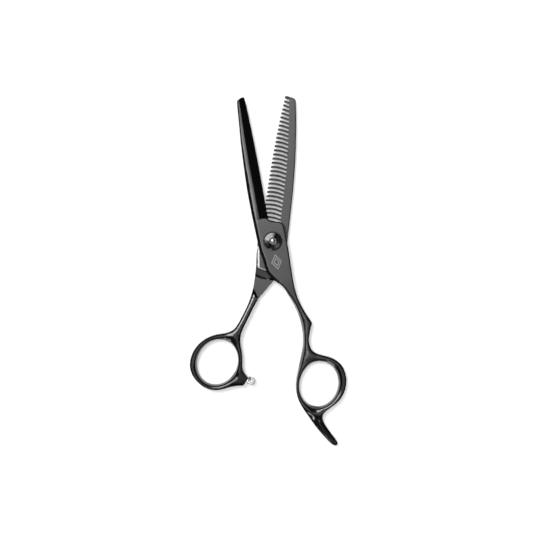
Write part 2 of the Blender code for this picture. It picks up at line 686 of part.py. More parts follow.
def make_washers():
    """The flat and sprung pieces round the bolt, from the inner faces to the dial."""
    bore, rim = WASHER_RADII
    low = LOWER_INNER - CLEARANCE
    make_part("friction_washer", turned(((bore, low), (bore, low + 0.6), (rim, low + 0.6), (rim, low)),
                                        TURNED_STEPS, True), TOOTHED_ANGLE)
    floor = COUNTERBORE[1] + CLEARANCE
    make_part("pivot_bush", turned(((bore, UPPER_INNER + 0.6), (bore, floor + 0.3), (3.7, floor + 0.3),
                                    (3.7, floor), (BUSH_RADIUS, floor), (BUSH_RADIUS, UPPER_INNER + 0.6)),
                                   TURNED_STEPS, True), PLAIN_ANGLE)
    plate_low = floor + 0.3 + CLEARANCE
    teeth = []
    for index in range(2 * CLICKS):
        angle = math.pi * index / CLICKS
        radius = CLICK_RADII[index % 2]
        teeth.append((radius * math.cos(angle), radius * math.sin(angle)))
    disc = bmesh.new()
    prism(disc, teeth, plate_low, plate_low + 0.4)
    click_plate = make_part("click_plate", disc, TOOTHED_ANGLE)
    cut(click_plate, "click_plate_bore", upright(bore, plate_low - 1, plate_low + 2))
    spring = bmesh.new()
    spring_low = plate_low + 0.4 + CLEARANCE
    radius, thickness = SPRING
    prism(spring, circle(radius, TURNED_STEPS), spring_low, spring_low + thickness)
    leaf_spring = make_part("leaf_spring", spring, TOOTHED_ANGLE)
    cut(leaf_spring, "leaf_spring_bore", upright(bore, spring_low - 1, spring_low + 2))


def make_tension_dial():
    """Domed, stepped dial nut with a coin slot across it and the bolt's end in its middle."""
    hollow = DIAL_LOW + SPRING[1] + CLEARANCE
    skirt = SPRING[0] + 0.35
    bore = BOLT_END_RADIUS + CLEARANCE
    radius, height = DIAL_HUB
    profile = [(bore, hollow), (bore, height - 0.06), (radius - 0.12, height + 0.06), DIAL_HUB]
    width = (DIAL_RADIUS - 0.12 - radius) / DIAL_STEPS
    for _ in range(DIAL_STEPS):
        radius, height = profile[-1]
        profile.append((radius + 0.05, height - DIAL_GROOVE))
        profile.append((radius + width, height - DIAL_GROOVE - DIAL_SLOPE * width))
    profile += [(DIAL_RADIUS, profile[-1][1] - 0.12), (DIAL_RADIUS, DIAL_LOW), (skirt, DIAL_LOW),
                (skirt, hollow)]
    dial = make_part("tension_dial", turned(profile, TURNED_STEPS, True), DIAL_SLOT_ANGLE)
    half = DIAL_SLOT_WIDTH / 2
    above = DIAL_HUB[1] + 1.0
    near = (DIAL_HUB[0] + 0.05, DIAL_HUB[1] + 0.05, DIAL_HUB[1] - 0.6)
    far = (DIAL_RADIUS + 0.45, DIAL_HUB[1] - 0.95, DIAL_HUB[1] - 1.15)
    for name, side in (("dial_slot_a", 1), ("dial_slot_b", -1)):
        cut(dial, name, swept([((side * x, -half, top), (side * x, 0.0, bottom), (side * x, half, top),
                                (side * x, 0.0, above)) for x, top, bottom in (near, far)]))


# The bumper --------------------------------------------------------------------------------------

def bumper_place():
    """From a turned piece along +Z to the bumper's axis on the lug."""
    lean = Matrix.Rotation(math.radians(BUMPER_LEAN), 4, "Z") @ Matrix.Rotation(math.pi / 2, 4, "Y")
    return Matrix.Translation(BUMPER_AT) @ lean


def make_bumper():
    """Steel stud pressed into the lug, and the clear cap on it that stops the rings."""
    stud = turned(((0, -STUD_DEPTH), (STUD_RADIUS, -STUD_DEPTH), (STUD_RADIUS, 0.35), (1.7, 0.35),
                   (1.8, 0.5), (1.8, 1.1), (1.6, 1.25), (0.9, 1.25), (0.9, 2.2), (0.7, 2.4),
                   (0, 2.4))[::-1], SMALL_STEPS, False)
    make_part("bumper_stud", stud, TOOTHED_ANGLE, bumper_place())
    cap_shape = turned(((0, 3.8), (0.9, 3.7), (1.55, 3.3), (1.85, 2.7), (1.9, 1.9), (1.75, 1.55),
                        (1.2, 1.55), (1.2, 2.6), (0, 2.7)), SMALL_STEPS, False)
    make_part("bumper_cap", cap_shape, TOOTHED_ANGLE, bumper_place())


make_plain_half()
make_toothed_half()
make_pivot_bolt()
make_washers()
make_tension_dial()
make_bumper()
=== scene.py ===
"""Thinning shears: the finished surfaces, materials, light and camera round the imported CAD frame."""
import math
from collections import namedtuple

import bmesh
import bpy
import numpy as np
from mathutils import Matrix, Vector
from mathutils.geometry import delaunay_2d_cdt


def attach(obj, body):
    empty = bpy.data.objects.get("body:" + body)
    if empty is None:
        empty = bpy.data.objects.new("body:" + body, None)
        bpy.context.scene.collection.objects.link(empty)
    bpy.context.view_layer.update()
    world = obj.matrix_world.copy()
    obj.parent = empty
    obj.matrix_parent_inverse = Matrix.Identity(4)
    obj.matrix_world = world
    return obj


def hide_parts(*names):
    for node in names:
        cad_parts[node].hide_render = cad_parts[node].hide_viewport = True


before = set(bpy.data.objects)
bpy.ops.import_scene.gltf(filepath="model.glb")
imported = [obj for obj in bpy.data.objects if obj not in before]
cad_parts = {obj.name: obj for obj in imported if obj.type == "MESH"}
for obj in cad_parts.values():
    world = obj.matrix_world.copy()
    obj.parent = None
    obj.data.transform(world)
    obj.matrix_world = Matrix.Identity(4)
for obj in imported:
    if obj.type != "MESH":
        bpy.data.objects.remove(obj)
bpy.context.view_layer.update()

MM = 0.001

# Sizes shared with the CAD model, in millimetres and degrees.
PLAIN_ANGLE = 11.4
TOOTHED_ANGLE = -4.8
LOWER_FACE = 0.0
LOWER_INNER = 3.0
UPPER_INNER = 3.3
UPPER_FACE = 6.3
HANDLE_TOP = 5.6
CLEARANCE = 0.3

# Mesh density.
STEP = 0.45
GRID = 0.42
ROUND_STEPS = 9
TURNED_STEPS = 96
RING_STEPS = 192
FINE_STEPS = 32
HALF_CREASE = 16
TURNED_CREASE = 30
CAP_CREASE = 40

# Cutting shapes: how far they stand over a face, and for the grinding of the blades also the
# stations along them, the share of its width that a wedge goes past both lines, and its height.
CUT_OVER = 0.2
GRIND_STATIONS = range(16, 74, 2)
GRIND_PAST = 0.4
GRIND_HEIGHT = 12.0

# Edges: width across, depth down, power (1 is an ellipse and 2 a straight chamfer), the most of
# the metal's own width that the edge takes, and the shares of the width and depth that its
# straight leaning wall takes. EDGE_END is how far round its curve an edge goes.
Edge = namedtuple("Edge", "width depth power share wall_width wall_depth")
PLATE_EDGE = Edge(1.0, 0.82, 1.95, 0.42, 0.03, 0.1)
HEEL_EDGE = Edge(0.6, 0.5, 1.9, 0.42, 0.03, 0.1)
LONG_EDGE = Edge(1.8, 3.5, 1.4, 0.5, 0.45, 0.75)
RING_EDGE = Edge(0.85, 0.64, 1.85, 0.3, 0.03, 0.1)
HOLE_EDGE = Edge(2.7, 3.5, 1.3, 0.6, 0.3, 0.7)
UNDER_EDGE = Edge(1.4, 1.4, 1.0, 0.46, 0.03, 0.15)
SPINE_EDGE = Edge(0.4, 0.3, 1.9, 0.42, 0.03, 0.1)
FINE_EDGE = Edge(0.12, 0.12, 1.0, 0.42, 0.1, 0.2)
EDGE_END = math.radians(76.0)

# Blades. Pairs are distances from the pivot, towards the tips, over which a shape comes in.
BLADE_START_Y = 10.0
BLADE_LENGTH = 58.0
BLADE_TAPER = 1.3
FLANK_RISE = (9.0, 20.0)
FLANK_FALL = (0.02, 0.065)
SPINE_NARROWS = (22.0, 58.0)
KNIFE_SHOULDER_Y = 11.3
KNIFE_SIDE_X = -2.0
KNIFE_EDGE = 0.35
COMB_SHOULDER_Y = 7.0
COMB_X, COMB_Y = 2.0, 5.0
COMB_EDGE = 0.9
POLISH_START_Y = 11.0

# Handles. Pairs are distances behind the pivot over which a shape comes in.
SHANK_START = (18.0, 34.0)
UNDER_STEP = (23.0, 28.0)
SATIN_END = (54.0, 64.0)
CROWN_START = (29.0, 36.0)
RING_START = (60.0, 76.0)
HANDLE_CROWN = 0.5
CROWN_RUN = 0.85
CREST_PASSES = 6
LUG_AT = (-8.5, -65.5)
LUG_CROWN = 0.2
LUG_REACH = (3.0, 8.0)
REST_DROP = 1.0
REST_START_Y = -74.0
REST_TURN = (0.55, 0.85)
REST_REACH = (13.2, 17.0)

# Teeth.
SLOTS = 30
SLOT_PITCH = 1.976
SLOT_WIDTH = 1.0
SLOT_RADIUS = 14.6
SLOT_LEAN = math.radians(20.0)
SLOT_REACH = 12.5
SLOT_ARC_STEPS = 12
SLOT_NOSE_STEPS = 6
FIRST_SLOT_Y = 9.5

# The plate of the toothed half ends at a slanting wall, where its shank rises to full height.
STEP_UP_Y = -16.0
WALL_FOOT = ((-8.55, -20.5), (-3.6, -28.7))
WALL_RUN = 1.3
SPACE_X = (-12.0, 9.0)
SPACE_HEIGHT = 4.0

# Relief behind the ride pad: (radius, depth) across it.
RELIEF = ((14.2, 0.3), (14.6, 0.6), (15.6, 0.62), (16.6, 0.56), (17.4, 0.4), (18.4, 0.0))

# Pivot stack: radii and heights of the bolt, the recesses for it and the dial.
BOLT_HEAD = (4.0, 0.9)
BOLT_KEY_SIDE = 4.2
BOLT_SHANK = (1.8, 6.9)
BOLT_END = (1.2, 8.4)
SPANNER_HOLE = (0.5, 0.5)
SPANNER_X = 2.6
WASHER_RADIUS = 3.9
WASHER_RECESS = 0.6
BUSH_RADIUS = 2.5
COUNTERBORE = (4.5, 4.9)
DIAL_RADIUS = 4.15
DIAL_LOW = 6.5
DIAL_HOLLOW = (3.75, 6.85 + CLEARANCE)
DIAL_HUB = (1.72, 8.18)
DIAL_GROOVES = 4
DIAL_GROOVE = 0.02
DIAL_SLOPE = 0.34
DIAL_SLOT_WIDTH = 0.9
DIAL_SLOT_ANGLE = 58.0

# Bumper: the profiles of its stud and cap run along its own axis, and CAP_DOME is the radius of the
# cap's dome, the height of its foot and its rise.
BUMPER_AT = Vector((-6.4, -65.9, HANDLE_TOP / 2))
BUMPER_LEAN = -15.8
BUMPER_STEPS = 48
STUD_RADIUS = 1.0
STUD_PROFILE = ((0, 2.4), (0.7, 2.4), (0.9, 2.2), (0.9, 1.25), (1.6, 1.25), (1.8, 1.1), (1.8, 0.5),
                (1.7, 0.35), (STUD_RADIUS, 0.35), (STUD_RADIUS, -2.3), (0, -2.3))
CAP_DOME = (1.9, 2.2, 1.6)
CAP_DOME_STEPS = 8
CAP_SKIRT = ((1.9, 1.9), (1.8, 1.65), (1.65, 1.55), (1.2, 1.55), (1.2, 2.6), (0, 2.7))

# Outlines of the closed halves: smooth runs that meet in corners, as in the CAD model. KNIFE_RUN
# and COMB_RUN number the two that cut. A finger hole has its centre, two half lengths and lean.
PLAIN_RUNS = (
    # spine, boss, crotch, inner side of the shank, finger ring and finger rest
    ((-3.5, 67.9), (-3.9, 65.0), (-4.7, 57.0), (-5.6, 48.5), (-6.2, 40.5), (-6.8, 31.5),
     (-7.15, 22.0), (-7.2, 12.0), (-7.1, 3.0), (-6.95, -3.5), (-6.3, -7.5), (-6.0, -11.0),
     (-5.5, -14.0), (-3.1, -18.0), (0.3, -21.6), (2.1, -26.0), (3.6, -30.2), (4.6, -34.2),
     (5.3, -38.2), (5.5, -42.0), (5.2, -46.0), (4.5, -49.8), (3.4, -53.4), (1.9, -57.0),
     (0.3, -60.6), (-1.2, -64.0), (-2.4, -67.5), (-3.0, -70.5), (-3.1, -73.5), (-2.5, -77.0),
     (-1.0, -81.2), (0.8, -85.4), (2.7, -89.6), (5.1, -94.0), (7.7, -98.1), (9.0, -99.6),
     (10.1, -100.1), (11.0, -99.8), (11.1, -98.8), (10.4, -96.9), (9.3, -94.7), (8.3, -92.5),
     (7.4, -90.4), (6.7, -88.3), (6.5, -86.3), (7.1, -84.5), (9.0, -83.0), (11.7, -81.8),
     (14.5, -80.4), (17.0, -78.5), (19.2, -75.6), (20.7, -72.1), (21.2, -68.3), (20.5, -64.3),
     (18.6, -61.2), (15.4, -58.7), (11.8, -56.9), (9.2, -55.3), (7.8, -53.5), (7.3, -51.2),
     (7.6, -48.3), (8.4, -45.8), (9.5, -43.3), (10.5, -41.2)),
    # spur, outer side of the shank and boss
    ((10.5, -41.2), (9.7, -39.1), (8.6, -36.4), (7.6, -33.6), (6.7, -30.5), (6.1, -27.6),
     (5.8, -24.5), (5.7, -21.0), (5.9, -15.2), (6.3, -7.6), (6.5, -1.6), (6.55, 5.3)),
    # heel of the blade
    ((6.55, 5.3), (6.2, 7.0), (4.9, 8.2), (3.0, 8.8), (1.4, 9.3), (0.2, 10.2), (-0.1, 11.2)),
    # cutting edge
    ((-0.1, 11.2), (0.15, 20.6), (0.35, 30.0), (0.5, 40.0), (0.55, 49.0), (0.5, 57.0),
     (0.4, 65.0), (0.2, 68.7)),
    # tip
    ((0.2, 68.7), (-0.1, 69.15), (-1.0, 69.15), (-2.2, 68.6), (-3.5, 67.9)),
)
KNIFE_RUN = 3
PLAIN_RING = ((8.1, -70.4), 10.7, 9.15, -23.5)

TOOTHED_RUNS = (
    # tip
    ((5.2, 67.3), (4.4, 68.1), (2.6, 68.6), (1.2, 68.9), (0.1, 68.8)),
    # tips of the teeth
    ((0.1, 68.8), (-1.9, 54.2), (-3.2, 42.0), (-4.1, 31.0), (-4.8, 20.3), (-5.2, 12.0),
     (-5.3, 8.6)),
    # heel, boss, outer side of the shank, thumb ring
    ((-5.3, 8.6), (-6.4, 7.5), (-7.0, 5.5), (-7.15, 0.0), (-7.1, -8.5), (-6.9, -12.5),
     (-7.0, -17.0), (-7.3, -22.0), (-7.9, -25.8), (-8.9, -29.7), (-10.3, -33.6),
     (-11.9, -37.5), (-13.2, -40.3), (-14.8, -42.8), (-17.7, -44.6), (-22.9, -46.0),
     (-27.3, -48.1), (-30.9, -51.4), (-33.2, -55.6), (-34.0, -60.2), (-33.3, -64.0),
     (-31.0, -67.6), (-26.6, -70.9), (-21.8, -72.0), (-18.2, -71.4), (-14.8, -70.1),
     (-11.4, -69.1), (-8.0, -68.6)),
    # lug of the bumper
    ((-8.0, -68.6), (-6.2, -64.9)),
    # inner side of the shank
    ((-6.2, -64.9), (-7.4, -63.6), (-8.8, -61.8), (-9.4, -59.5), (-9.6, -57.0),
     (-9.9, -54.4), (-10.6, -51.5), (-11.2, -48.8), (-11.4, -46.5), (-11.1, -44.3),
     (-10.4, -41.8), (-9.3, -39.0), (-7.9, -35.4), (-6.3, -31.4), (-4.4, -27.3)),
    # crotch
    ((-4.4, -27.3), (4.6, -14.8)),
    # boss and spine
    ((4.6, -14.8), (5.9, -12.2), (6.4, -8.5), (6.75, -4.0), (6.9, 1.0), (7.1, 7.6),
     (7.3, 15.2), (7.5, 24.0), (7.45, 34.0), (7.2, 43.5), (6.65, 52.5), (5.95, 60.6),
     (5.2, 67.3)),
)
COMB_RUN = 1
THUMB_RING = ((-21.3, -59.0), 10.85, 9.45, -19.0)

# Lines along the plain half's handle and between the two sides of its boss, its blade's ridge and
# the roots of the slots.
SHANK_MIDDLE = ((7.0, -60.0), (6.0, -52.0), (7.2, -44.0), (7.2, -38.0), (5.0, -31.0), (4.0, -26.0))
BOSS_MIDDLE = ((3.0, -30.0), (-2.5, -17.0), (-3.0, -13.0), (0.0, 0.0))
PLAIN_RIDGE = ((-4.1, 10.8), (-4.05, 16.0), (-3.9, 26.0), (-3.8, 38.0), (-3.3, 52.0), (-2.6, 67.0))
SLOT_ROOTS = ((2.9, 9.5), (3.4, 21.3), (3.75, 33.7), (3.65, 43.0), (3.3, 53.0), (2.3, 66.8))

# Ride pad of the toothed half: its outer side, how far the bevel along it reaches in and out, the
# lowered strip outside that, and the bevel round its end as (radius, depth).
PAD_SIDE = ((-7.1, -2.6), (-6.3, -4.7), (-5.95, -8.5), (-5.6, -12.2), (-5.3, -15.5))
PAD_BEVEL_IN = 1.65
PAD_BEVEL_OUT = 0.45
PAD_BEVEL_END = 0.5
PAD_BEVEL_DEPTH = 0.12
PAD_STRIP_WIDTH = 4.0
PAD_STRIP_DEPTH = 0.32
PAD_FOOT = ((13.6, 0.0), (14.8, 0.15))
PAD_FOOT_ENDS = (12.0, 14.9)

# Lozenge etched on the plain half's boss.
MARK_AT = (-0.2, -9.9)
MARK_HALVES = ((2.3, 3.3), (1.2, 1.75))
MARK_LINE = 0.3
MARK_DEPTH = 0.05

# Floor and lamps, in metres: (name, place, size, power).
FLOOR_HALF = 20000.0
FLOOR_GAP = 0.0002
FLOOR_FILL = 1.2
ROOM_LAMPS = (("overhead", (0.0, 0.0, 1.3), (0.9, 0.9), 6.2),
              ("key", (-0.30, 0.38, 1.0), (0.36, 0.36), 7.6))
STRIP_LAMPS = (("upper_strip", (-0.42, 0.54, 0.85), (1.1, 0.4), 30.0),
               ("left_strip", (-0.5, 0.10, 1.12), (0.22, 0.5), 11.0),
               ("lower_strip", (-0.34, -0.91, 0.42), (0.36, 0.16), 6.0),
               ("right_strip", (0.45, -0.45, 0.9), (0.6, 0.36), 2.6))

# Sky: the ray heights between which it changes, and its brightness below and above them.
HAZE_RISE = (0.02, 0.16)
HAZE_GLOW = (0.56, 0.3)

# Camera, in metres, with its sensor in millimetres.
CAMERA_AT = (-0.00132, -0.01349)
CAMERA_DISTANCE = 0.35
FRAME_WIDTH = 0.2547
SENSOR_WIDTH = 36.0


# Curves in the plane ------------------------

def smooth_run(points):
    """Points about one step apart on a smooth curve through the given ones, the last left out."""
    given = [Vector(point) for point in points]
    given = [2 * given[0] - given[1]] + given + [2 * given[-1] - given[-2]]
    result = []
    for before, start, end, after in zip(given, given[1:], given[2:], given[3:]):
        gaps = [math.sqrt((b - a).length) for a, b in ((before, start), (start, end), (end, after))]
        leave = (start - before) / gaps[0] - (end - before) / (gaps[0] + gaps[1])
        leave = (leave + (end - start) / gaps[1]) * gaps[1]
        arrive = (end - start) / gaps[1] - (after - start) / (gaps[1] + gaps[2])
        arrive = (arrive + (after - end) / gaps[2]) * gaps[1]
        count = max(1, round((end - start).length / STEP))
        for index in range(count):
            t = index / count
            result.append(
                start * (2 * t**3 - 3 * t**2 + 1) + leave * (t**3 - 2 * t**2 + t)
                + end * (3 * t**2 - 2 * t**3) + arrive * (t**3 - t**2)
            )
    return result


def outline(runs):
    return [point for run in runs for point in smooth_run(run)]


def ring_hole(ring):
    """A finger hole: an ellipse, clockwise, so that the metal is on its left."""
    (x, y), long_half, short_half, lean = ring
    count = round(math.pi * (long_half + short_half) / STEP)
    turn = Matrix.Rotation(math.radians(lean), 2)
    points = []
    for index in range(count):
        angle = -2 * math.pi * index / count
        along = Vector((short_half * math.cos(angle), long_half * math.sin(angle)))
        points.append(turn @ along + Vector((x, y)))
    return points


def line_x(points, y):
    """Where a line along the blade is, at a distance y from the pivot."""
    return float(np.interp(y, [point[1] for point in points], [point[0] for point in points]))


def ramp(value, low, high):
    """0 below low, 1 above high, and a smooth rise between."""
    t = min(max((value - low) / (high - low), 0.0), 1.0)
    return t * t * (3 - 2 * t)


def mixed(first, second, share):
    """An edge between two others."""
    return Edge(*(a + (b - a) * share for a, b in zip(first, second)))


# Faces of the halves ------------------------
# Each gives its height, its edge and how far its rim lies below its crest, at a place.

def blade_taper(y):
    """How much a blade has thinned at a distance y from the pivot."""
    return BLADE_TAPER * min(max((y - BLADE_START_Y) / BLADE_LENGTH, 0.0), 1.0)


def handle_edge(x, y):
    """The rounding of the plain half's handle: long on the inner side of its shank."""
    if x < line_x(SHANK_MIDDLE, y):
        return mixed(LONG_EDGE, RING_EDGE, ramp(-y, *RING_START))
    return RING_EDGE


def handle_sink(y):
    """How far the rim of the plain half's handle lies below its crest."""
    return HANDLE_CROWN * ramp(-y, *CROWN_START)


def finger_rest_drop(x, y):
    """How far the finger rest lies below the ring that it grows from."""
    ring_x, ring_y = PLAIN_RING[0]
    away = math.hypot(x - ring_x, y - ring_y)
    below = ramp(math.atan2(ring_y - y, ring_x - x), *REST_TURN)
    return REST_DROP * below * ramp(away, *REST_REACH)


def spine_edge(x, y):
    """The chamfer round a blade's outer face: wide along the spine, narrow on the other side."""
    if x > line_x(BOSS_MIDDLE, y):
        return HEEL_EDGE
    size = 1.4 - 0.75 * ramp(y, *SPINE_NARROWS)
    depth = PLATE_EDGE.depth * size * (1 - 0.5 * ramp(y, *FLANK_RISE))
    return PLATE_EDGE._replace(width=PLATE_EDGE.width * size, depth=depth)


def plain_top(x, y):
    shank = ramp(-y, *SHANK_START)
    blade = ramp(y, *FLANK_RISE)
    z = UPPER_FACE - shank * (UPPER_FACE - HANDLE_TOP) - blade_taper(y)
    flank = max(line_x(PLAIN_RIDGE, y) - x, 0.0)
    z -= blade * (FLANK_FALL[0] * flank + FLANK_FALL[1] * flank * flank) + handle_sink(y)
    if y < REST_START_Y:
        z -= finger_rest_drop(x, y)
    edge = mixed(spine_edge(x, y), handle_edge(x, y), shank)
    if x > KNIFE_SIDE_X and y > KNIFE_SHOULDER_Y:
        edge = FINE_EDGE
    return z, edge, handle_sink(y)


def plain_bottom(x, y):
    shank = ramp(-y, *UNDER_STEP)
    z = UPPER_INNER - shank * (UPPER_INNER - LOWER_FACE)
    return z, mixed(FINE_EDGE, UNDER_EDGE, shank), 0.0


def toothed_top(x, y):
    if y < STEP_UP_Y:
        off_lug = ramp(math.dist((x, y), LUG_AT), *LUG_REACH)
        sink = HANDLE_CROWN * (LUG_CROWN + (1 - LUG_CROWN) * off_lug)
        return HANDLE_TOP - sink, RING_EDGE, sink
    return LOWER_INNER, SPINE_EDGE if x > COMB_X and y > COMB_Y else FINE_EDGE, 0.0


def toothed_bottom(x, y):
    shank = ramp(-y, *SHANK_START)
    edge = mixed(spine_edge(-x, y), UNDER_EDGE, shank)
    if x < COMB_X and y > COMB_Y:
        edge = FINE_EDGE
    return LOWER_FACE + blade_taper(y), edge, 0.0


# Meshes -------------------------------------

def inward_normals(loop):
    """Unit normals towards the metal, which is on the left of the loop."""
    normals = []
    for index, point in enumerate(loop):
        ahead = (loop[(index + 1) % len(loop)] - point).normalized()
        behind = (point - loop[index - 1]).normalized()
        along = (ahead + behind).normalized()
        normals.append(Vector((-along.y, along.x)))
    return normals


def reach_across(loops, normals):
    """For each outline point, how far the metal reaches along its inward normal."""
    starts = np.array([point for loop in loops for point in loop])
    ends = np.array([loop[(index + 1) % len(loop)] for loop in loops for index in range(len(loop))])
    ways = ends - starts
    reaches = []
    for start, normal in zip(starts, [n for group in normals for n in group]):
        across = normal.x * ways[:, 1] - normal.y * ways[:, 0]
        across[np.abs(across) < 1e-9] = 1e-9
        gap = starts - start
        far = (gap[:, 0] * ways[:, 1] - gap[:, 1] * ways[:, 0]) / across
        place = (gap[:, 0] * normal.y - gap[:, 1] * normal.x) / across
        hit = (far > 0.05) & (place >= -1e-6) & (place <= 1 + 1e-6)
        reaches.append(float(far[hit].min()) if hit.any() else 1.0)
    return reaches


def inside(points, loops):
    """Which points are in the metal, by counting outline crossings."""
    points = np.asarray(points)
    odd = np.zeros(len(points), dtype=bool)
    for loop in loops:
        for a, b in zip(loop, loop[1:] + loop[:1]):
            if a[1] == b[1]:
                continue
            spans = (a[1] > points[:, 1]) != (b[1] > points[:, 1])
            crossing = a[0] + (points[:, 1] - a[1]) * (b[0] - a[0]) / (b[1] - a[1])
            odd ^= spans & (points[:, 0] < crossing)
    return odd


def crossed(loops):
    """Which sides of some closed outlines cross another side."""
    starts = np.array([point for loop in loops for point in loop])
    ends = np.array([point for loop in loops for point in loop[1:] + loop[:1]])
    ways = ends - starts

    def turn_to(points):
        gap = points[None] - starts[:, None]
        return ways[:, None, 0] * gap[:, :, 1] - ways[:, None, 1] * gap[:, :, 0]

    split = turn_to(starts) * turn_to(ends) < -1e-12
    return (split & split.T).any(axis=1)


def edge_specs(loops, face, hole_edge):
    """The edge at each outline point, of the face given; the loops after the first are holes."""
    return [[hole_edge if index else face(point.x, point.y)[1] for point in loop]
            for index, loop in enumerate(loops)]


def edge_limits(loops, normals, specs):
    """The widest edge at each outline point: a share of the metal, never folding over."""
    reaches = iter(reach_across(loops, normals))
    limits = []
    for group in specs:
        share = np.array([spec.share * next(reaches) for spec in group])
        for _ in range(4):
            share = np.minimum(share, np.minimum(np.roll(share, 1), np.roll(share, -1)))
        for _ in range(6):
            share = (np.roll(share, 1) + share + np.roll(share, -1)) / 3
        limits.append(np.minimum([spec.width for spec in group], share))
    for _ in range(60):
        inner = [[point + way * limit for point, way, limit in zip(*group)]
                 for group in zip(loops, normals, limits)]
        folds = crossed(inner)
        if not folds.any():
            break
        for index, loop in enumerate(loops):
            near, folds = folds[:len(loop)], folds[len(loop):]
            for _ in range(3):
                near = near | np.roll(near, 1) | np.roll(near, -1)
            limits[index] = np.where(near, limits[index] * 0.9, limits[index])
    return limits


def edge_shape(spec, step):
    """How far across and how far down an edge is at a step round it, as shares of its size."""
    if step == 0:
        return 0.0, 1.0
    angle = EDGE_END * (step - 1) / (ROUND_STEPS - 1)
    across = spec.wall_width + (1 - spec.wall_width) * (1 - math.cos(angle) ** spec.power)
    return across, (1 - spec.wall_depth) * (1 - math.sin(angle) ** spec.power)


def gaps_to(points, loops):
    """How far each point is from the nearest side of some closed outlines."""
    nearest = np.full(len(points), np.inf)
    for loop in loops:
        for a, b in zip(loop, loop[1:] + loop[:1]):
            way = np.subtract(b, a)
            share = np.clip((points - a) @ way / (way @ way), 0.0, 1.0)
            gap = points - a - share[:, None] * way
            nearest = np.minimum(nearest, np.hypot(gap[:, 0], gap[:, 1]))
    return nearest


def cap(bm, rows, face, upward):
    """Fill the inner edge of a face with triangles that follow the face and its crown."""
    loops = [[(vert.co.x, vert.co.y) for vert in row] for row in rows]
    rim = np.array([point for loop in loops for point in loop])
    low, high = rim.min(axis=0), rim.max(axis=0)
    xs = np.arange(low[0] + GRID / 2, high[0], GRID)
    ys = np.arange(low[1] + GRID / 2, high[1], GRID)
    candidates = np.array([(x, y) for x in xs for y in ys])
    candidates = candidates[inside(candidates, loops)]
    nearest = gaps_to(candidates, loops)
    kept = nearest > 0.55 * GRID
    verts = [vert for row in rows for vert in row]
    crest = []
    for (x, y), gap in zip(candidates[kept], nearest[kept]):
        height, _, sink = face(x, y)
        verts.append(bm.verts.new((x, y, height + sink * (1 - math.exp(-gap / CROWN_RUN)))))
        if sink > 0.0:
            crest.append(verts[-1])
    edges = []
    first = 0
    for loop in loops:
        edges += [(first + i, first + (i + 1) % len(loop)) for i in range(len(loop))]
        first += len(loop)
    flat = [Vector(vert.co[:2]) for vert in verts]
    found, _, triangles, sources, _, _ = delaunay_2d_cdt(flat, edges, [], 0, 1e-7)
    middles = [sum((found[i] for i in triangle), Vector((0, 0))) / 3 for triangle in triangles]
    for triangle, keep in zip(triangles, inside(middles, loops)):
        if keep:
            corners = [verts[sources[i][0]] for i in triangle]
            bm.faces.new(corners if upward else corners[::-1])
    for _ in range(CREST_PASSES):
        bmesh.ops.smooth_vert(bm, verts=crest, factor=0.5, use_axis_z=True)


def plate(loops, top, bottom):
    """A flat solid with the given outlines, whose two faces and their edges follow functions."""
    bm = bmesh.new()
    normals = [inward_normals(loop) for loop in loops]
    bands = [[] for _ in loops]
    for face, sign, hole_edge, order in ((bottom, 1, UNDER_EDGE, range(ROUND_STEPS, -1, -1)),
                                         (top, -1, HOLE_EDGE, range(ROUND_STEPS + 1))):
        specs = edge_specs(loops, face, hole_edge)
        limits = edge_limits(loops, normals, specs)
        for rows, loop, ways, widths, group in zip(bands, loops, normals, limits, specs):
            for step in order:
                row = []
                for point, way, width, spec in zip(loop, ways, widths, group):
                    across, down = edge_shape(spec, step)
                    place = point + way * width * across
                    drop = spec.depth * math.sqrt(width / spec.width) * down
                    height = face(place.x, place.y)[0] + sign * drop
                    row.append(bm.verts.new((place.x, place.y, height)))
                rows.append(row)
    for rows, loop in zip(bands, loops):
        for lower, upper in zip(rows, rows[1:]):
            for i in range(len(loop)):
                j = (i + 1) % len(loop)
                bm.faces.new((lower[i], lower[j], upper[j], upper[i]))
    cap(bm, [rows[-1] for rows in bands], top, True)
    cap(bm, [rows[0] for rows in bands], bottom, False)
    return bm


def prism(bm, points, low, high):
    """Add an upright prism on a closed outline."""
    base = bm.faces.new([bm.verts.new((*point, low)) for point in points])
    bm.normal_update()
    if base.normal.z > 0:
        base.normal_flip()
    walls = bmesh.ops.extrude_face_region(bm, geom=[base], use_keep_orig=True)
    moved = [item for item in walls["geom"] if isinstance(item, bmesh.types.BMVert)]
    bmesh.ops.translate(bm, verts=moved, vec=(0, 0, high - low))
    bmesh.ops.recalc_face_normals(bm, faces=bm.faces)


def circle(radius, steps, centre):
    angles = [2 * math.pi * (index + 0.5) / steps for index in range(steps)]
    return [(centre[0] + radius * math.cos(a), centre[1] + radius * math.sin(a)) for a in angles]


def square(side):
    half = side / 2
    return [(-half, -half), (half, -half), (half, half), (-half, half)]


def turned(profile, steps, closed=False):
    """A turned piece: a (radius, height) profile spun about Z, closed or from axis to axis."""
    bm = bmesh.new()
    verts = [bm.verts.new((radius, 0, height)) for radius, height in profile]
    edges = [bm.edges.new(pair) for pair in zip(verts, verts[1:])]
    if closed:
        edges.append(bm.edges.new((verts[-1], verts[0])))
    bmesh.ops.spin(bm, geom=verts + edges, cent=(0, 0, 0), axis=(0, 0, 1),
                   angle=2 * math.pi, steps=steps, use_merge=True)
    bmesh.ops.remove_doubles(bm, verts=bm.verts, dist=1e-5)
    bmesh.ops.recalc_face_normals(bm, faces=bm.faces)
    return bm


def upright(radius, low, high, steps=TURNED_STEPS, centre=(0.0, 0.0)):
    bm = bmesh.new()
    prism(bm, circle(radius, steps, centre), low, high)
    return bm


# Objects ------------------------------------

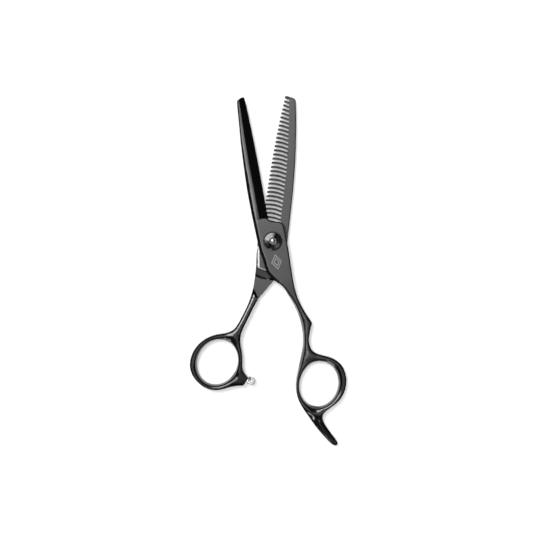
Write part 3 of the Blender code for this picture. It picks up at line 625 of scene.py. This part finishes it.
def make_object(name, bm, angle, material, place=Matrix.Identity(4)):
    """Turn a mesh in millimetres into an object in metres, swung about the pivot."""
    bm.transform(Matrix.Scale(MM, 4) @ place)
    mesh = bpy.data.meshes.new(name)
    bm.to_mesh(mesh)
    bm.free()
    mesh.materials.append(material)
    obj = bpy.data.objects.new(name, mesh)
    obj.rotation_euler.z = math.radians(angle)
    bpy.context.scene.collection.objects.link(obj)
    return obj


def combine(part, bm, material, operation="DIFFERENCE", place=Matrix.Identity(4)):
    """Cut a shape, drawn in the same closed position, out of a part, or join it on."""
    tool = make_object("tool", bm, math.degrees(part.rotation_euler.z), material, place)
    modifier = part.modifiers.new("combine", "BOOLEAN")
    modifier.operation = operation
    modifier.solver = "EXACT"
    modifier.material_mode = "TRANSFER"
    modifier.object = tool
    bpy.context.view_layer.update()
    evaluated = part.evaluated_get(bpy.context.evaluated_depsgraph_get())
    mesh = bpy.data.meshes.new_from_object(evaluated)
    part.modifiers.clear()
    part.data = mesh
    bpy.data.objects.remove(tool, do_unlink=True)


def soften(obj, angle):
    """Smooth shading, with creases where faces meet at more than the angle."""
    obj.data.shade_smooth()
    obj.data.set_sharp_from_angle(angle=math.radians(angle))


def place_on(obj, body, slot, *nodes):
    """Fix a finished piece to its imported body, in place of the CAD nodes."""
    bpy.context.view_layer.update()
    obj.data.transform(obj.matrix_world)
    obj.matrix_world = Matrix.Identity(4)
    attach(obj, body)
    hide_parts(*nodes)


# Cutting shapes -----------------------------

def swept(sections):
    """A closed solid through sections that have the same number of corners."""
    bm = bmesh.new()
    rows = [[bm.verts.new(corner) for corner in section] for section in sections]
    for first, second in zip(rows, rows[1:]):
        for i in range(len(first)):
            j = (i + 1) % len(first)
            bm.faces.new((first[i], first[j], second[j], second[i]))
    bm.faces.new(rows[0])
    bm.faces.new(rows[-1])
    bmesh.ops.recalc_face_normals(bm, faces=bm.faces)
    return bm


def ground_face(ridge, edge, side, shoulder_y):
    """A wedge that grinds a blade from its ridge line down to its edge line."""
    sections = []
    for y in (shoulder_y, *GRIND_STATIONS):
        (ridge_x, ridge_z), (edge_x, edge_z) = ridge(y), edge(y)
        run, rise = GRIND_PAST * (edge_x - ridge_x), GRIND_PAST * (edge_z - ridge_z)
        near = (ridge_x - run, y, ridge_z - rise)
        far = (edge_x + run, y, edge_z + rise)
        away = side * GRIND_HEIGHT
        sections.append((near, far, (far[0], y, away), (near[0], y, away)))
    return swept(sections)


def tooth_slots():
    """The curved slots between the teeth, each with a round root."""
    bm = bmesh.new()
    half = SLOT_WIDTH / 2
    for index in range(SLOTS):
        y = FIRST_SLOT_Y + index * SLOT_PITCH
        root = Vector((line_x(SLOT_ROOTS, y) - half, y))
        centre = root - SLOT_RADIUS * Vector((math.sin(SLOT_LEAN), math.cos(SLOT_LEAN)))
        start = math.pi / 2 - SLOT_LEAN
        end = start + SLOT_REACH / SLOT_RADIUS
        angles = [start + (end - start) * step / SLOT_ARC_STEPS for step in range(SLOT_ARC_STEPS + 1)]
        ways = [Vector((math.cos(angle), math.sin(angle))) for angle in angles]
        upper = [centre + way * (SLOT_RADIUS + half) for way in ways]
        lower = [centre + way * (SLOT_RADIUS - half) for way in ways]
        nose = []
        for turn in range(1, SLOT_NOSE_STEPS):
            angle = -SLOT_LEAN + math.pi / 2 - math.pi * turn / SLOT_NOSE_STEPS
            nose.append(root + Vector((math.cos(angle), math.sin(angle))) * half)
        prism(bm, upper[::-1] + nose + lower, LOWER_FACE - 1, LOWER_INNER + 1)
    return bm


def half_ring(profile, side):
    """The handle side of a ring turned about the pivot, as a closed solid."""
    bm = turned(profile if side > 0 else profile[::-1], RING_STEPS, True)
    front = [face for face in bm.faces if face.calc_center_median().y > 0]
    bmesh.ops.delete(bm, geom=front, context="FACES")
    bmesh.ops.holes_fill(bm, edges=[edge for edge in bm.edges if edge.is_boundary])
    bmesh.ops.recalc_face_normals(bm, faces=bm.faces)
    return bm


def relief(face_z, side):
    """The ring-shaped relief on an inner face, behind the ride pad."""
    over = face_z + side * 3.2
    profile = [(radius, face_z - side * depth) for radius, depth in RELIEF]
    return half_ring(((RELIEF[0][0] - 0.3, over), *profile, (RELIEF[-1][0] + 0.3, over)), side)


def pad_foot():
    """The bevel round the end of the toothed half's ride pad."""
    over = LOWER_INNER + CUT_OVER
    profile = [(radius, LOWER_INNER - depth) for radius, depth in PAD_FOOT]
    return half_ring(((PAD_FOOT_ENDS[0], over), *profile, (PAD_FOOT_ENDS[1], over)), 1)


def pad_bevel():
    """The bevel along the outer side of the toothed half's ride pad."""
    over, foot = LOWER_INNER + CUT_OVER, LOWER_INNER - PAD_BEVEL_DEPTH
    return swept([((x + PAD_BEVEL_IN, y, over), (x - PAD_BEVEL_OUT, y, foot),
                   (x - PAD_BEVEL_END, y, foot), (x - PAD_BEVEL_END, y, over))
                  for x, y in PAD_SIDE])


def pad_strip():
    """The lowered strip outside the bevel."""
    over, floor = LOWER_INNER + CUT_OVER, LOWER_INNER - PAD_STRIP_DEPTH
    return swept([((x - PAD_BEVEL_OUT, y, over), (x - PAD_BEVEL_OUT, y, floor),
                   (x - PAD_STRIP_WIDTH, y, floor), (x - PAD_STRIP_WIDTH, y, over))
                  for x, y in PAD_SIDE])


def plate_space():
    """The space above the toothed half's plate, up to the slanting wall where its shank rises."""
    a, b = (Vector(point) for point in WALL_FOOT)
    out = Vector((b.y - a.y, a.x - b.x)).normalized()
    shift = out * WALL_RUN * SPACE_HEIGHT / (HANDLE_TOP - LOWER_INNER)
    back = (SPACE_X[0], STEP_UP_Y + CUT_OVER)
    front = ((SPACE_X[1], b.y), (SPACE_X[1], STEP_UP_Y + CUT_OVER))
    floor = [(*point, LOWER_INNER) for point in (back, a, b, *front)]
    roof = [(*point, LOWER_INNER + SPACE_HEIGHT) for point in (back, a + shift, b + shift, *front)]
    return swept((floor, roof))


def groove(start, end):
    """A shallow straight groove in the boss face, one line wide."""
    along = (end - start).normalized() * MARK_LINE / 2
    across = Vector((-along.y, along.x))
    near, far = start - along, end + along
    bm = bmesh.new()
    prism(bm, [near - across, far - across, far + across, near + across],
          UPPER_FACE - MARK_DEPTH, UPPER_FACE + 0.5)
    return bm


# Materials ----------------------------------

class Nodes:
    """Short calls for building one material's nodes."""

    def __init__(self, name):
        self.material = bpy.data.materials.new(name)
        self.material.use_nodes = True
        self.tree = self.material.node_tree
        self.shader = self.tree.nodes["Principled BSDF"]

    def add(self, kind, **values):
        node = self.tree.nodes.new(kind)
        for key, value in values.items():
            setattr(node, key, value)
        return node

    def link(self, source, target):
        self.tree.links.new(source, target)

    def feed(self, target, value):
        if isinstance(value, bpy.types.NodeSocket):
            self.link(value, target)
        else:
            target.default_value = value

    def coords(self, scale=(1, 1, 1)):
        mapping = self.add("ShaderNodeMapping")
        mapping.inputs["Scale"].default_value = scale
        self.link(self.add("ShaderNodeTexCoord").outputs["Object"], mapping.inputs["Vector"])
        return mapping.outputs["Vector"]

    def noise(self, scale, detail, stretch=(1, 1, 1)):
        """Noise whose scale is in features per metre."""
        node = self.add("ShaderNodeTexNoise")
        self.link(self.coords(stretch), node.inputs["Vector"])
        node.inputs["Scale"].default_value = scale
        node.inputs["Detail"].default_value = detail
        node.inputs["Roughness"].default_value = 0.55
        return node.outputs["Fac"]

    def span(self, value, low, high, start=0.0, end=1.0):
        """Map a value's range start..end to low..high."""
        node = self.add("ShaderNodeMapRange")
        self.feed(node.inputs["Value"], value)
        node.inputs["From Min"].default_value = start
        node.inputs["From Max"].default_value = end
        self.feed(node.inputs["To Min"], low)
        self.feed(node.inputs["To Max"], high)
        return node.outputs["Result"]

    def maths(self, operation, first, second):
        node = self.add("ShaderNodeMath", operation=operation)
        self.feed(node.inputs[0], first)
        self.feed(node.inputs[1], second)
        return node.outputs["Value"]

    def blend(self, share, first, second):
        """Mix two colours."""
        node = self.add("ShaderNodeMix", data_type="RGBA")
        self.feed(node.inputs["Factor"], share)
        self.feed(node.inputs["A"], first)
        self.feed(node.inputs["B"], second)
        return node.outputs["Result"]

    def attribute(self, name):
        return self.add("ShaderNodeAttribute", attribute_name=name).outputs["Fac"]

    def edges(self, radius):
        """How near a convex or concave edge is: 1 on the edge and 0 away from it."""
        bevel = self.add("ShaderNodeBevel", samples=4)
        bevel.inputs["Radius"].default_value = radius
        agree = self.add("ShaderNodeVectorMath", operation="DOT_PRODUCT")
        self.link(bevel.outputs["Normal"], agree.inputs[0])
        self.link(self.add("ShaderNodeNewGeometry").outputs["Normal"], agree.inputs[1])
        return self.span(agree.outputs["Value"], 1.0, 0.0, 0.85, 0.98)

    def bump(self, height, strength, distance, before=None):
        node = self.add("ShaderNodeBump")
        self.feed(node.inputs["Height"], height)
        self.feed(node.inputs["Strength"], strength)
        node.inputs["Distance"].default_value = distance
        if before is not None:
            self.link(before, node.inputs["Normal"])
        return node.outputs["Normal"]

    def set(self, **values):
        for key, value in values.items():
            self.feed(self.shader.inputs[key.replace("_", " ")], value)


def coated_steel():
    """Black coated steel: satin where the satin attribute says so, polished elsewhere, and darkened
    towards black by painted shade where the other attribute says so.
    """
    m = Nodes("coated_steel")
    satin = m.attribute("satin")
    painted_shade = m.attribute("painted_shade")
    grain = m.noise(9000, 4, (0.06, 1.0, 1.0))
    cloud = m.noise(160, 3)
    fine = m.noise(2600, 2)
    satin_tone = m.blend(cloud, (0.023, 0.023, 0.0235, 1), (0.027, 0.027, 0.0275, 1))
    gloss_tone = m.blend(cloud, (0.020, 0.020, 0.0205, 1), (0.025, 0.025, 0.0255, 1))
    tone = m.blend(satin, gloss_tone, satin_tone)
    # Painted shade: the coating darkens towards near black by the share in the attribute above.
    tone = m.blend(painted_shade, tone, (0.010, 0.010, 0.0105, 1))
    worn = m.maths("MULTIPLY", m.edges(0.0001), m.span(m.noise(1200, 3), 0.0, 0.6, 0.45, 0.65))
    colour = m.blend(worn, tone, (0.08, 0.08, 0.08, 1))
    rough_satin = m.span(grain, 0.36, 0.46, 0.25, 0.75)
    rough_gloss = m.span(cloud, 0.10, 0.16, 0.3, 0.7)
    rough = m.span(satin, rough_gloss, rough_satin)
    brushed = m.bump(grain, m.maths("MULTIPLY", satin, 0.10), 0.00002)
    peel = m.bump(fine, 0.03, 0.00002, brushed)
    m.set(Base_Color=colour, Roughness=rough, Metallic=1.0, Normal=peel)
    return m.material


def mottled(name, noise, dark, light, rough, bump, **more):
    """A material whose colour, roughness and fine relief follow one noise."""
    m = Nodes(name)
    cloud = m.noise(*noise)
    m.set(Base_Color=m.blend(cloud, dark, light), Roughness=m.span(cloud, *rough),
          Normal=m.bump(cloud, *bump), **more)
    return m.material


def bare_steel():
    """Reground steel where the coating is cut through."""
    return mottled("bare_steel", (8000, 4, (1.0, 0.08, 1.0)), (0.08, 0.08, 0.081, 1),
                   (0.108, 0.108, 0.108, 1), (0.30, 0.42), (0.08, 0.00002), Metallic=1.0)


def etched_steel():
    """Matt steel where the coating is etched away."""
    return mottled("etched_steel", (9000, 3), (0.085, 0.085, 0.085, 1), (0.12, 0.12, 0.12, 1),
                   (0.5, 0.65), (0.2, 0.00002), Metallic=1.0)


def turned_steel(name, dark, light, rough):
    """Turned metal: fine rings about the piece's own axis."""
    m = Nodes(name)
    rings = m.add("ShaderNodeTexWave", wave_type="RINGS", rings_direction="Z")
    m.link(m.coords(), rings.inputs["Vector"])
    for key, value in {"Scale": 4200, "Distortion": 1.5, "Detail": 2.0, "Detail Scale": 1.5}.items():
        rings.inputs[key].default_value = value
    cut_marks = rings.outputs["Fac"]
    cloud = m.noise(900, 3)
    m.set(Base_Color=m.blend(cloud, dark, light), Metallic=1.0,
          Roughness=m.span(cut_marks, rough, rough + 0.12),
          Normal=m.bump(cut_marks, 0.12, 0.00002))
    return m.material


def bearing_polymer():
    return mottled("bearing_polymer", (1500, 4), (0.66, 0.65, 0.61, 1), (0.80, 0.79, 0.75, 1),
                   (0.45, 0.6), (0.1, 0.00003))


def clear_silicone():
    """Soft clear rubber with a light frosting."""
    return mottled("clear_silicone", (1800, 3), (0.15, 0.155, 0.16, 1), (0.46, 0.46, 0.46, 1),
                   (0.08, 0.3), (0.6, 0.0001), Transmission_Weight=0.35, IOR=1.41)


def paper_floor():
    m = Nodes("paper_floor")
    cloud = m.noise(30, 2)
    m.set(Base_Color=m.blend(cloud, (0.79, 0.79, 0.79, 1), (0.81, 0.81, 0.81, 1)), Roughness=0.9,
          Specular_IOR_Level=0.1)
    return m.material


# The two halves -----------------------------

def mark(obj, name, share):
    """Write a share for the material at each face corner, from its place and its face's normal."""
    mesh = obj.data
    values = np.zeros(len(mesh.loops), dtype=np.float32)
    for polygon in mesh.polygons:
        for loop_index in polygon.loop_indices:
            co = mesh.vertices[mesh.loops[loop_index].vertex_index].co / MM
            values[loop_index] = share(co.x, co.y, co.z, polygon.normal)
    attribute = mesh.attributes.new(name, "FLOAT", "CORNER")
    attribute.data.foreach_set("value", values)


def flat_share(normal, least):
    """1 on a face that lies flat enough, 0 on one that leans."""
    return 1.0 if abs(normal.z) > least else 0.0


def make_plain_half(coated, etched):
    loops = [outline(PLAIN_RUNS), ring_hole(PLAIN_RING)]
    half = make_object("plain_half_forging", plate(loops, plain_top, plain_bottom),
                       PLAIN_ANGLE, coated)

    def ridge(y):
        x = line_x(PLAIN_RIDGE, y)
        return x, plain_top(x, y)[0]

    def edge(y):
        return line_x(PLAIN_RUNS[KNIFE_RUN], y), UPPER_INNER + KNIFE_EDGE

    for cut in (ground_face(ridge, edge, 1, KNIFE_SHOULDER_Y), relief(UPPER_INNER, -1),
                upright(BUSH_RADIUS + CLEARANCE, UPPER_INNER - 1, UPPER_FACE + 1),
                upright(*COUNTERBORE, UPPER_FACE + 1),
                upright(WASHER_RADIUS + CLEARANCE, UPPER_INNER - 1, UPPER_INNER + CLEARANCE)):
        combine(half, cut, coated)
    for half_width, half_height in MARK_HALVES:
        corners = [Vector(MARK_AT) + Vector(corner) for corner in
                   ((half_width, 0), (0, half_height), (-half_width, 0), (0, -half_height))]
        for start, end in zip(corners, corners[1:] + corners[:1]):
            combine(half, groove(start, end), etched)

    def ground(x, y, normal):
        return y > POLISH_START_Y and x > line_x(PLAIN_RIDGE, y) - 0.05 and normal.z > 0

    def satin(x, y, z, normal):
        if ground(x, y, normal):
            return 0.0
        flank = ramp(line_x(PLAIN_RIDGE, y) - x, 0.3, 1.6) if y > POLISH_START_Y else 0.0
        return (1.0 - 0.9 * ramp(-y, *SATIN_END)) * (1.0 - 0.5 * flank) * flat_share(normal, 0.9)

    # Painted shade: darkens the coating on the ground face, on the blade most near its ridge, on the
    # finger rest and outside the ring, standing in for shade and dark reflections.
    def painted_shade(x, y, z, normal):
        if ground(x, y, normal):
            return 1.0
        if y > POLISH_START_Y:
            return 0.9 - 0.5 * ramp(line_x(PLAIN_RIDGE, y) - x, 0.2, 2.2)
        finger_rest = 0.6 * ramp(-y, 80.0, 86.0)
        ring_outside = 0.5 * ramp(x, 15.0, 18.5) * ramp(-y, 54.0, 60.0)
        return max(finger_rest, ring_outside)

    mark(half, "satin", satin)
    mark(half, "painted_shade", painted_shade)
    soften(half, HALF_CREASE)
    place_on(half, "upper_half", "coated_steel", "plain_half")


def make_toothed_half(coated, bare):
    loops = [outline(TOOTHED_RUNS), ring_hole(THUMB_RING)]
    half = make_object("toothed_half_forging", plate(loops, toothed_top, toothed_bottom),
                       TOOTHED_ANGLE, coated)

    def ridge(y):
        x = line_x(SLOT_ROOTS, y) + 1.0
        return x, toothed_bottom(x, y)[0]

    def edge(y):
        return line_x(TOOTHED_RUNS[COMB_RUN][::-1], y), LOWER_INNER - COMB_EDGE

    for cut in (ground_face(ridge, edge, -1, COMB_SHOULDER_Y), tooth_slots(),
                relief(LOWER_INNER, 1), plate_space(), pad_strip()):
        combine(half, cut, coated)
    combine(half, pad_foot(), bare)
    combine(half, pad_bevel(), bare)
    key_hole = bmesh.new()
    prism(key_hole, square(BOLT_KEY_SIDE + 2 * CLEARANCE), LOWER_FACE - 1, LOWER_INNER + 1)
    head_radius, head_top = BOLT_HEAD
    for cut in (key_hole, upright(head_radius + CLEARANCE, LOWER_FACE - 1, head_top + CLEARANCE),
                upright(WASHER_RADIUS + CLEARANCE, LOWER_INNER - WASHER_RECESS, LOWER_INNER + 1)):
        combine(half, cut, coated)
    stud_hole = upright(STUD_RADIUS + CLEARANCE, -2.6, 2.0, FINE_STEPS)
    combine(half, stud_hole, coated, place=bumper_place())

    def satin(x, y, z, normal):
        return (0.1 if z > LOWER_INNER + 0.1 else 1.0) * flat_share(normal, 0.96)

    # Painted shade: darkens the coating on the teeth towards their tips, over the handle and most round
    # the lug, and in the relief behind the ride pad, standing in for shade and dimming highlights.
    def painted_shade(x, y, z, normal):
        if y > 8.0:
            return 0.95 * ramp(line_x(SLOT_ROOTS, y) - x, -0.2, 0.8)
        if y < -40.0:
            return 0.35 + 0.65 * (1.0 - ramp(math.dist((x, y), LUG_AT), 5.0, 9.0))
        in_relief = y < -10.0 and z < LOWER_INNER - 0.05 and 13.9 < math.hypot(x, y) < 18.5
        return 0.85 if in_relief else 0.0

    mark(half, "satin", satin)
    mark(half, "painted_shade", painted_shade)
    soften(half, HALF_CREASE)
    place_on(half, "lower_half", "coated_steel", "toothed_half")


# The pivot stack ----------------------------

def make_pivot_bolt(steel):
    """The bolt: a flush head with two spanner holes, a square key and a stepped, domed shank."""
    radius, thickness = BOLT_HEAD
    key_top = LOWER_INNER - WASHER_RECESS
    core = BOLT_KEY_SIDE / 2 - 0.3
    head = turned(((0, thickness + 0.3), (core, thickness + 0.3), (core, thickness),
                   (radius, thickness), (radius, 0.15), (radius - 0.05, 0.05), (radius - 0.15, 0),
                   (0, 0)), TURNED_STEPS)
    bolt = make_object("pivot_bolt_turned", head, TOOTHED_ANGLE, steel)
    key = bmesh.new()
    prism(key, square(BOLT_KEY_SIDE), thickness - 0.2, key_top)
    combine(bolt, key, steel, "UNION")
    end_radius, end_top = BOLT_END
    shank_radius, shank_top = BOLT_SHANK
    shank = turned(((0, end_top), (0.5, end_top - 0.06), (0.8, end_top - 0.16),
                    (0.95, end_top - 0.25), (1.1, end_top - 0.4), (end_radius, end_top - 0.6),
                    (end_radius, shank_top), (shank_radius, shank_top),
                    (shank_radius, key_top - 0.3), (0, key_top - 0.3)), TURNED_STEPS)
    combine(bolt, shank, steel, "UNION")
    hole_radius, hole_depth = SPANNER_HOLE
    for x in (-SPANNER_X, SPANNER_X):
        combine(bolt, upright(hole_radius, -1, hole_depth, FINE_STEPS, (x, 0.0)), steel)
    soften(bolt, TURNED_CREASE)
    place_on(bolt, "lower_half", "pivot_steel", "pivot_bolt")


def make_tension_dial(coated, steel):
    """The dial: a hub, grooved rings that slope down to the rim, and a V slot across them."""
    hollow_radius, hollow_top = DIAL_HOLLOW
    hub_radius, hub_height = DIAL_HUB
    bore = BOLT_END[0] + CLEARANCE
    profile = [(bore, hollow_top), (bore, hub_height - 0.06), (bore + 0.03, hub_height + 0.04),
               (hub_radius - 0.12, hub_height + 0.06), DIAL_HUB]
    width = (DIAL_RADIUS - 0.12 - hub_radius) / DIAL_GROOVES
    for _ in range(DIAL_GROOVES):
        radius, height = profile[-1]
        top = height - DIAL_GROOVE
        profile.append((radius + 0.05, top))
        profile.append((radius + width * 0.55, top - DIAL_SLOPE * width * 0.45))
        profile.append((radius + width, top - DIAL_SLOPE * width))
    profile += [(DIAL_RADIUS, profile[-1][1] - 0.12), (DIAL_RADIUS, DIAL_LOW + 0.06),
                (DIAL_RADIUS - 0.06, DIAL_LOW), (hollow_radius, DIAL_LOW), DIAL_HOLLOW]
    dial = make_object("tension_dial_turned", turned(profile, TURNED_STEPS, True), DIAL_SLOT_ANGLE,
                       steel)
    half = DIAL_SLOT_WIDTH / 2
    over = hub_height + 1.0
    near = (hub_radius + 0.05, hub_height + 0.05, hub_height - 0.6)
    far = (DIAL_RADIUS + 0.45, hub_height - 0.95, hub_height - 1.15)
    for side in (1, -1):
        slot = [((side * x, -half, top), (side * x, 0.0, bottom), (side * x, half, top),
                 (side * x, 0.0, over)) for x, top, bottom in (near, far)]
        combine(dial, swept(slot), coated)
    soften(dial, TURNED_CREASE)
    place_on(dial, "dial", "dial_steel", "tension_dial")


# The bumper ---------------------------------

def bumper_place():
    """From a turned piece along +Z to the bumper's axis on the lug."""
    lean = Matrix.Rotation(math.radians(BUMPER_LEAN), 4, "Z") @ Matrix.Rotation(math.pi / 2, 4, "Y")
    return Matrix.Translation(BUMPER_AT) @ lean


def make_bumper(steel, silicone):
    stud = turned(STUD_PROFILE, BUMPER_STEPS)
    stud = make_object("bumper_stud_turned", stud, TOOTHED_ANGLE, steel, bumper_place())
    soften(stud, TURNED_CREASE)
    place_on(stud, "lower_half", "stud_steel", "bumper_stud")
    radius, base, rise = CAP_DOME
    angles = [math.pi / 2 * step / CAP_DOME_STEPS for step in range(CAP_DOME_STEPS + 1)]
    dome = [(radius * math.sin(angle), base + rise * math.cos(angle)) for angle in angles]
    cap_mesh = turned((*dome, *CAP_SKIRT), BUMPER_STEPS)
    moulded = make_object("bumper_cap_moulded", cap_mesh, TOOTHED_ANGLE, silicone, bumper_place())
    soften(moulded, CAP_CREASE)
    place_on(moulded, "lower_half", "clear_silicone", "bumper_cap")


# Floor, light and camera --------------------

def make_floor():
    bm = bmesh.new()
    bmesh.ops.create_grid(bm, x_segments=8, y_segments=8, size=FLOOR_HALF)
    floor = make_object("floor", bm, 0.0, paper_floor())
    floor.location.z = -FLOOR_GAP
    return floor


def area_light(name, place, size, energy):
    """A rectangular lamp that points at the pivot."""
    data = bpy.data.lights.new(name, "AREA")
    data.shape = "RECTANGLE"
    data.size, data.size_y = size
    data.energy = energy
    light = bpy.data.objects.new(name, data)
    light.location = place
    light.rotation_euler = (Vector() - Vector(place)).to_track_quat("-Z", "Y").to_euler()
    bpy.context.scene.collection.objects.link(light)
    return light


def make_world():
    """A dim even sky that is as pale as the floor where the two meet."""
    world = bpy.data.worlds.new("studio")
    world.use_nodes = True
    tree = world.node_tree
    split = tree.nodes.new("ShaderNodeSeparateXYZ")
    way = tree.nodes.new("ShaderNodeTexCoord").outputs["Generated"]
    tree.links.new(way, split.inputs["Vector"])
    haze = tree.nodes.new("ShaderNodeMapRange")
    tree.links.new(split.outputs["Z"], haze.inputs["Value"])
    for name, value in zip(("From Min", "From Max", "To Min", "To Max"), HAZE_RISE + HAZE_GLOW):
        haze.inputs[name].default_value = value
    background = tree.nodes["Background"]
    background.inputs["Color"].default_value = (1, 1, 1, 1)
    tree.links.new(haze.outputs["Result"], background.inputs["Strength"])
    bpy.context.scene.world = world


def make_light(floor):
    """Lamps for the whole scene, strip lamps for the metal alone and a fill for the floor alone."""
    make_world()
    for lamp in ROOM_LAMPS:
        area_light(*lamp)
    strips = [area_light(*lamp) for lamp in STRIP_LAMPS]
    fill = bpy.data.objects.new("floor_fill", bpy.data.lights.new("floor_fill", "SUN"))
    fill.data.energy = FLOOR_FILL
    fill.data.use_shadow = False
    bpy.context.scene.collection.objects.link(fill)
    only_floor = bpy.data.collections.new("floor_only")
    not_floor = bpy.data.collections.new("not_floor")
    for group in (only_floor, not_floor):
        group.objects.link(floor)
    not_floor.collection_objects[0].light_linking.link_state = "EXCLUDE"
    fill.light_linking.receiver_collection = only_floor
    for strip in strips:
        strip.light_linking.receiver_collection = not_floor


def make_camera():
    """Straight down on the shears, framing them at the height of their inner faces."""
    data = bpy.data.cameras.new("camera")
    data.sensor_width = SENSOR_WIDTH
    data.lens = SENSOR_WIDTH * CAMERA_DISTANCE / FRAME_WIDTH
    camera = bpy.data.objects.new("camera", data)
    camera.location = (*CAMERA_AT, CAMERA_DISTANCE + LOWER_INNER * MM)
    bpy.context.scene.collection.objects.link(camera)
    bpy.context.scene.camera = camera


make_camera()
coated = coated_steel()
bare = bare_steel()
make_plain_half(coated, etched_steel())
make_toothed_half(coated, bare)
make_pivot_bolt(turned_steel("pivot_steel", (0.10, 0.10, 0.105, 1), (0.16, 0.16, 0.165, 1), 0.2))
make_tension_dial(coated, turned_steel("dial_steel", (0.021, 0.021, 0.0215, 1),
                                       (0.032, 0.032, 0.0325, 1), 0.18))
make_bumper(turned_steel("stud_steel", (0.22, 0.22, 0.225, 1), (0.34, 0.34, 0.34, 1), 0.1),
            clear_silicone())
polymer = bearing_polymer()
spring = turned_steel("spring_steel", (0.45, 0.44, 0.42, 1), (0.56, 0.55, 0.53, 1), 0.22)
for node, look in (("friction_washer", polymer), ("pivot_bush", polymer), ("click_plate", spring),
                   ("leaf_spring", spring)):
    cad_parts[node].data.materials.clear()
    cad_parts[node].data.materials.append(look)
make_light(make_floor())
bpy.context.scene.view_settings.view_transform = "Standard"
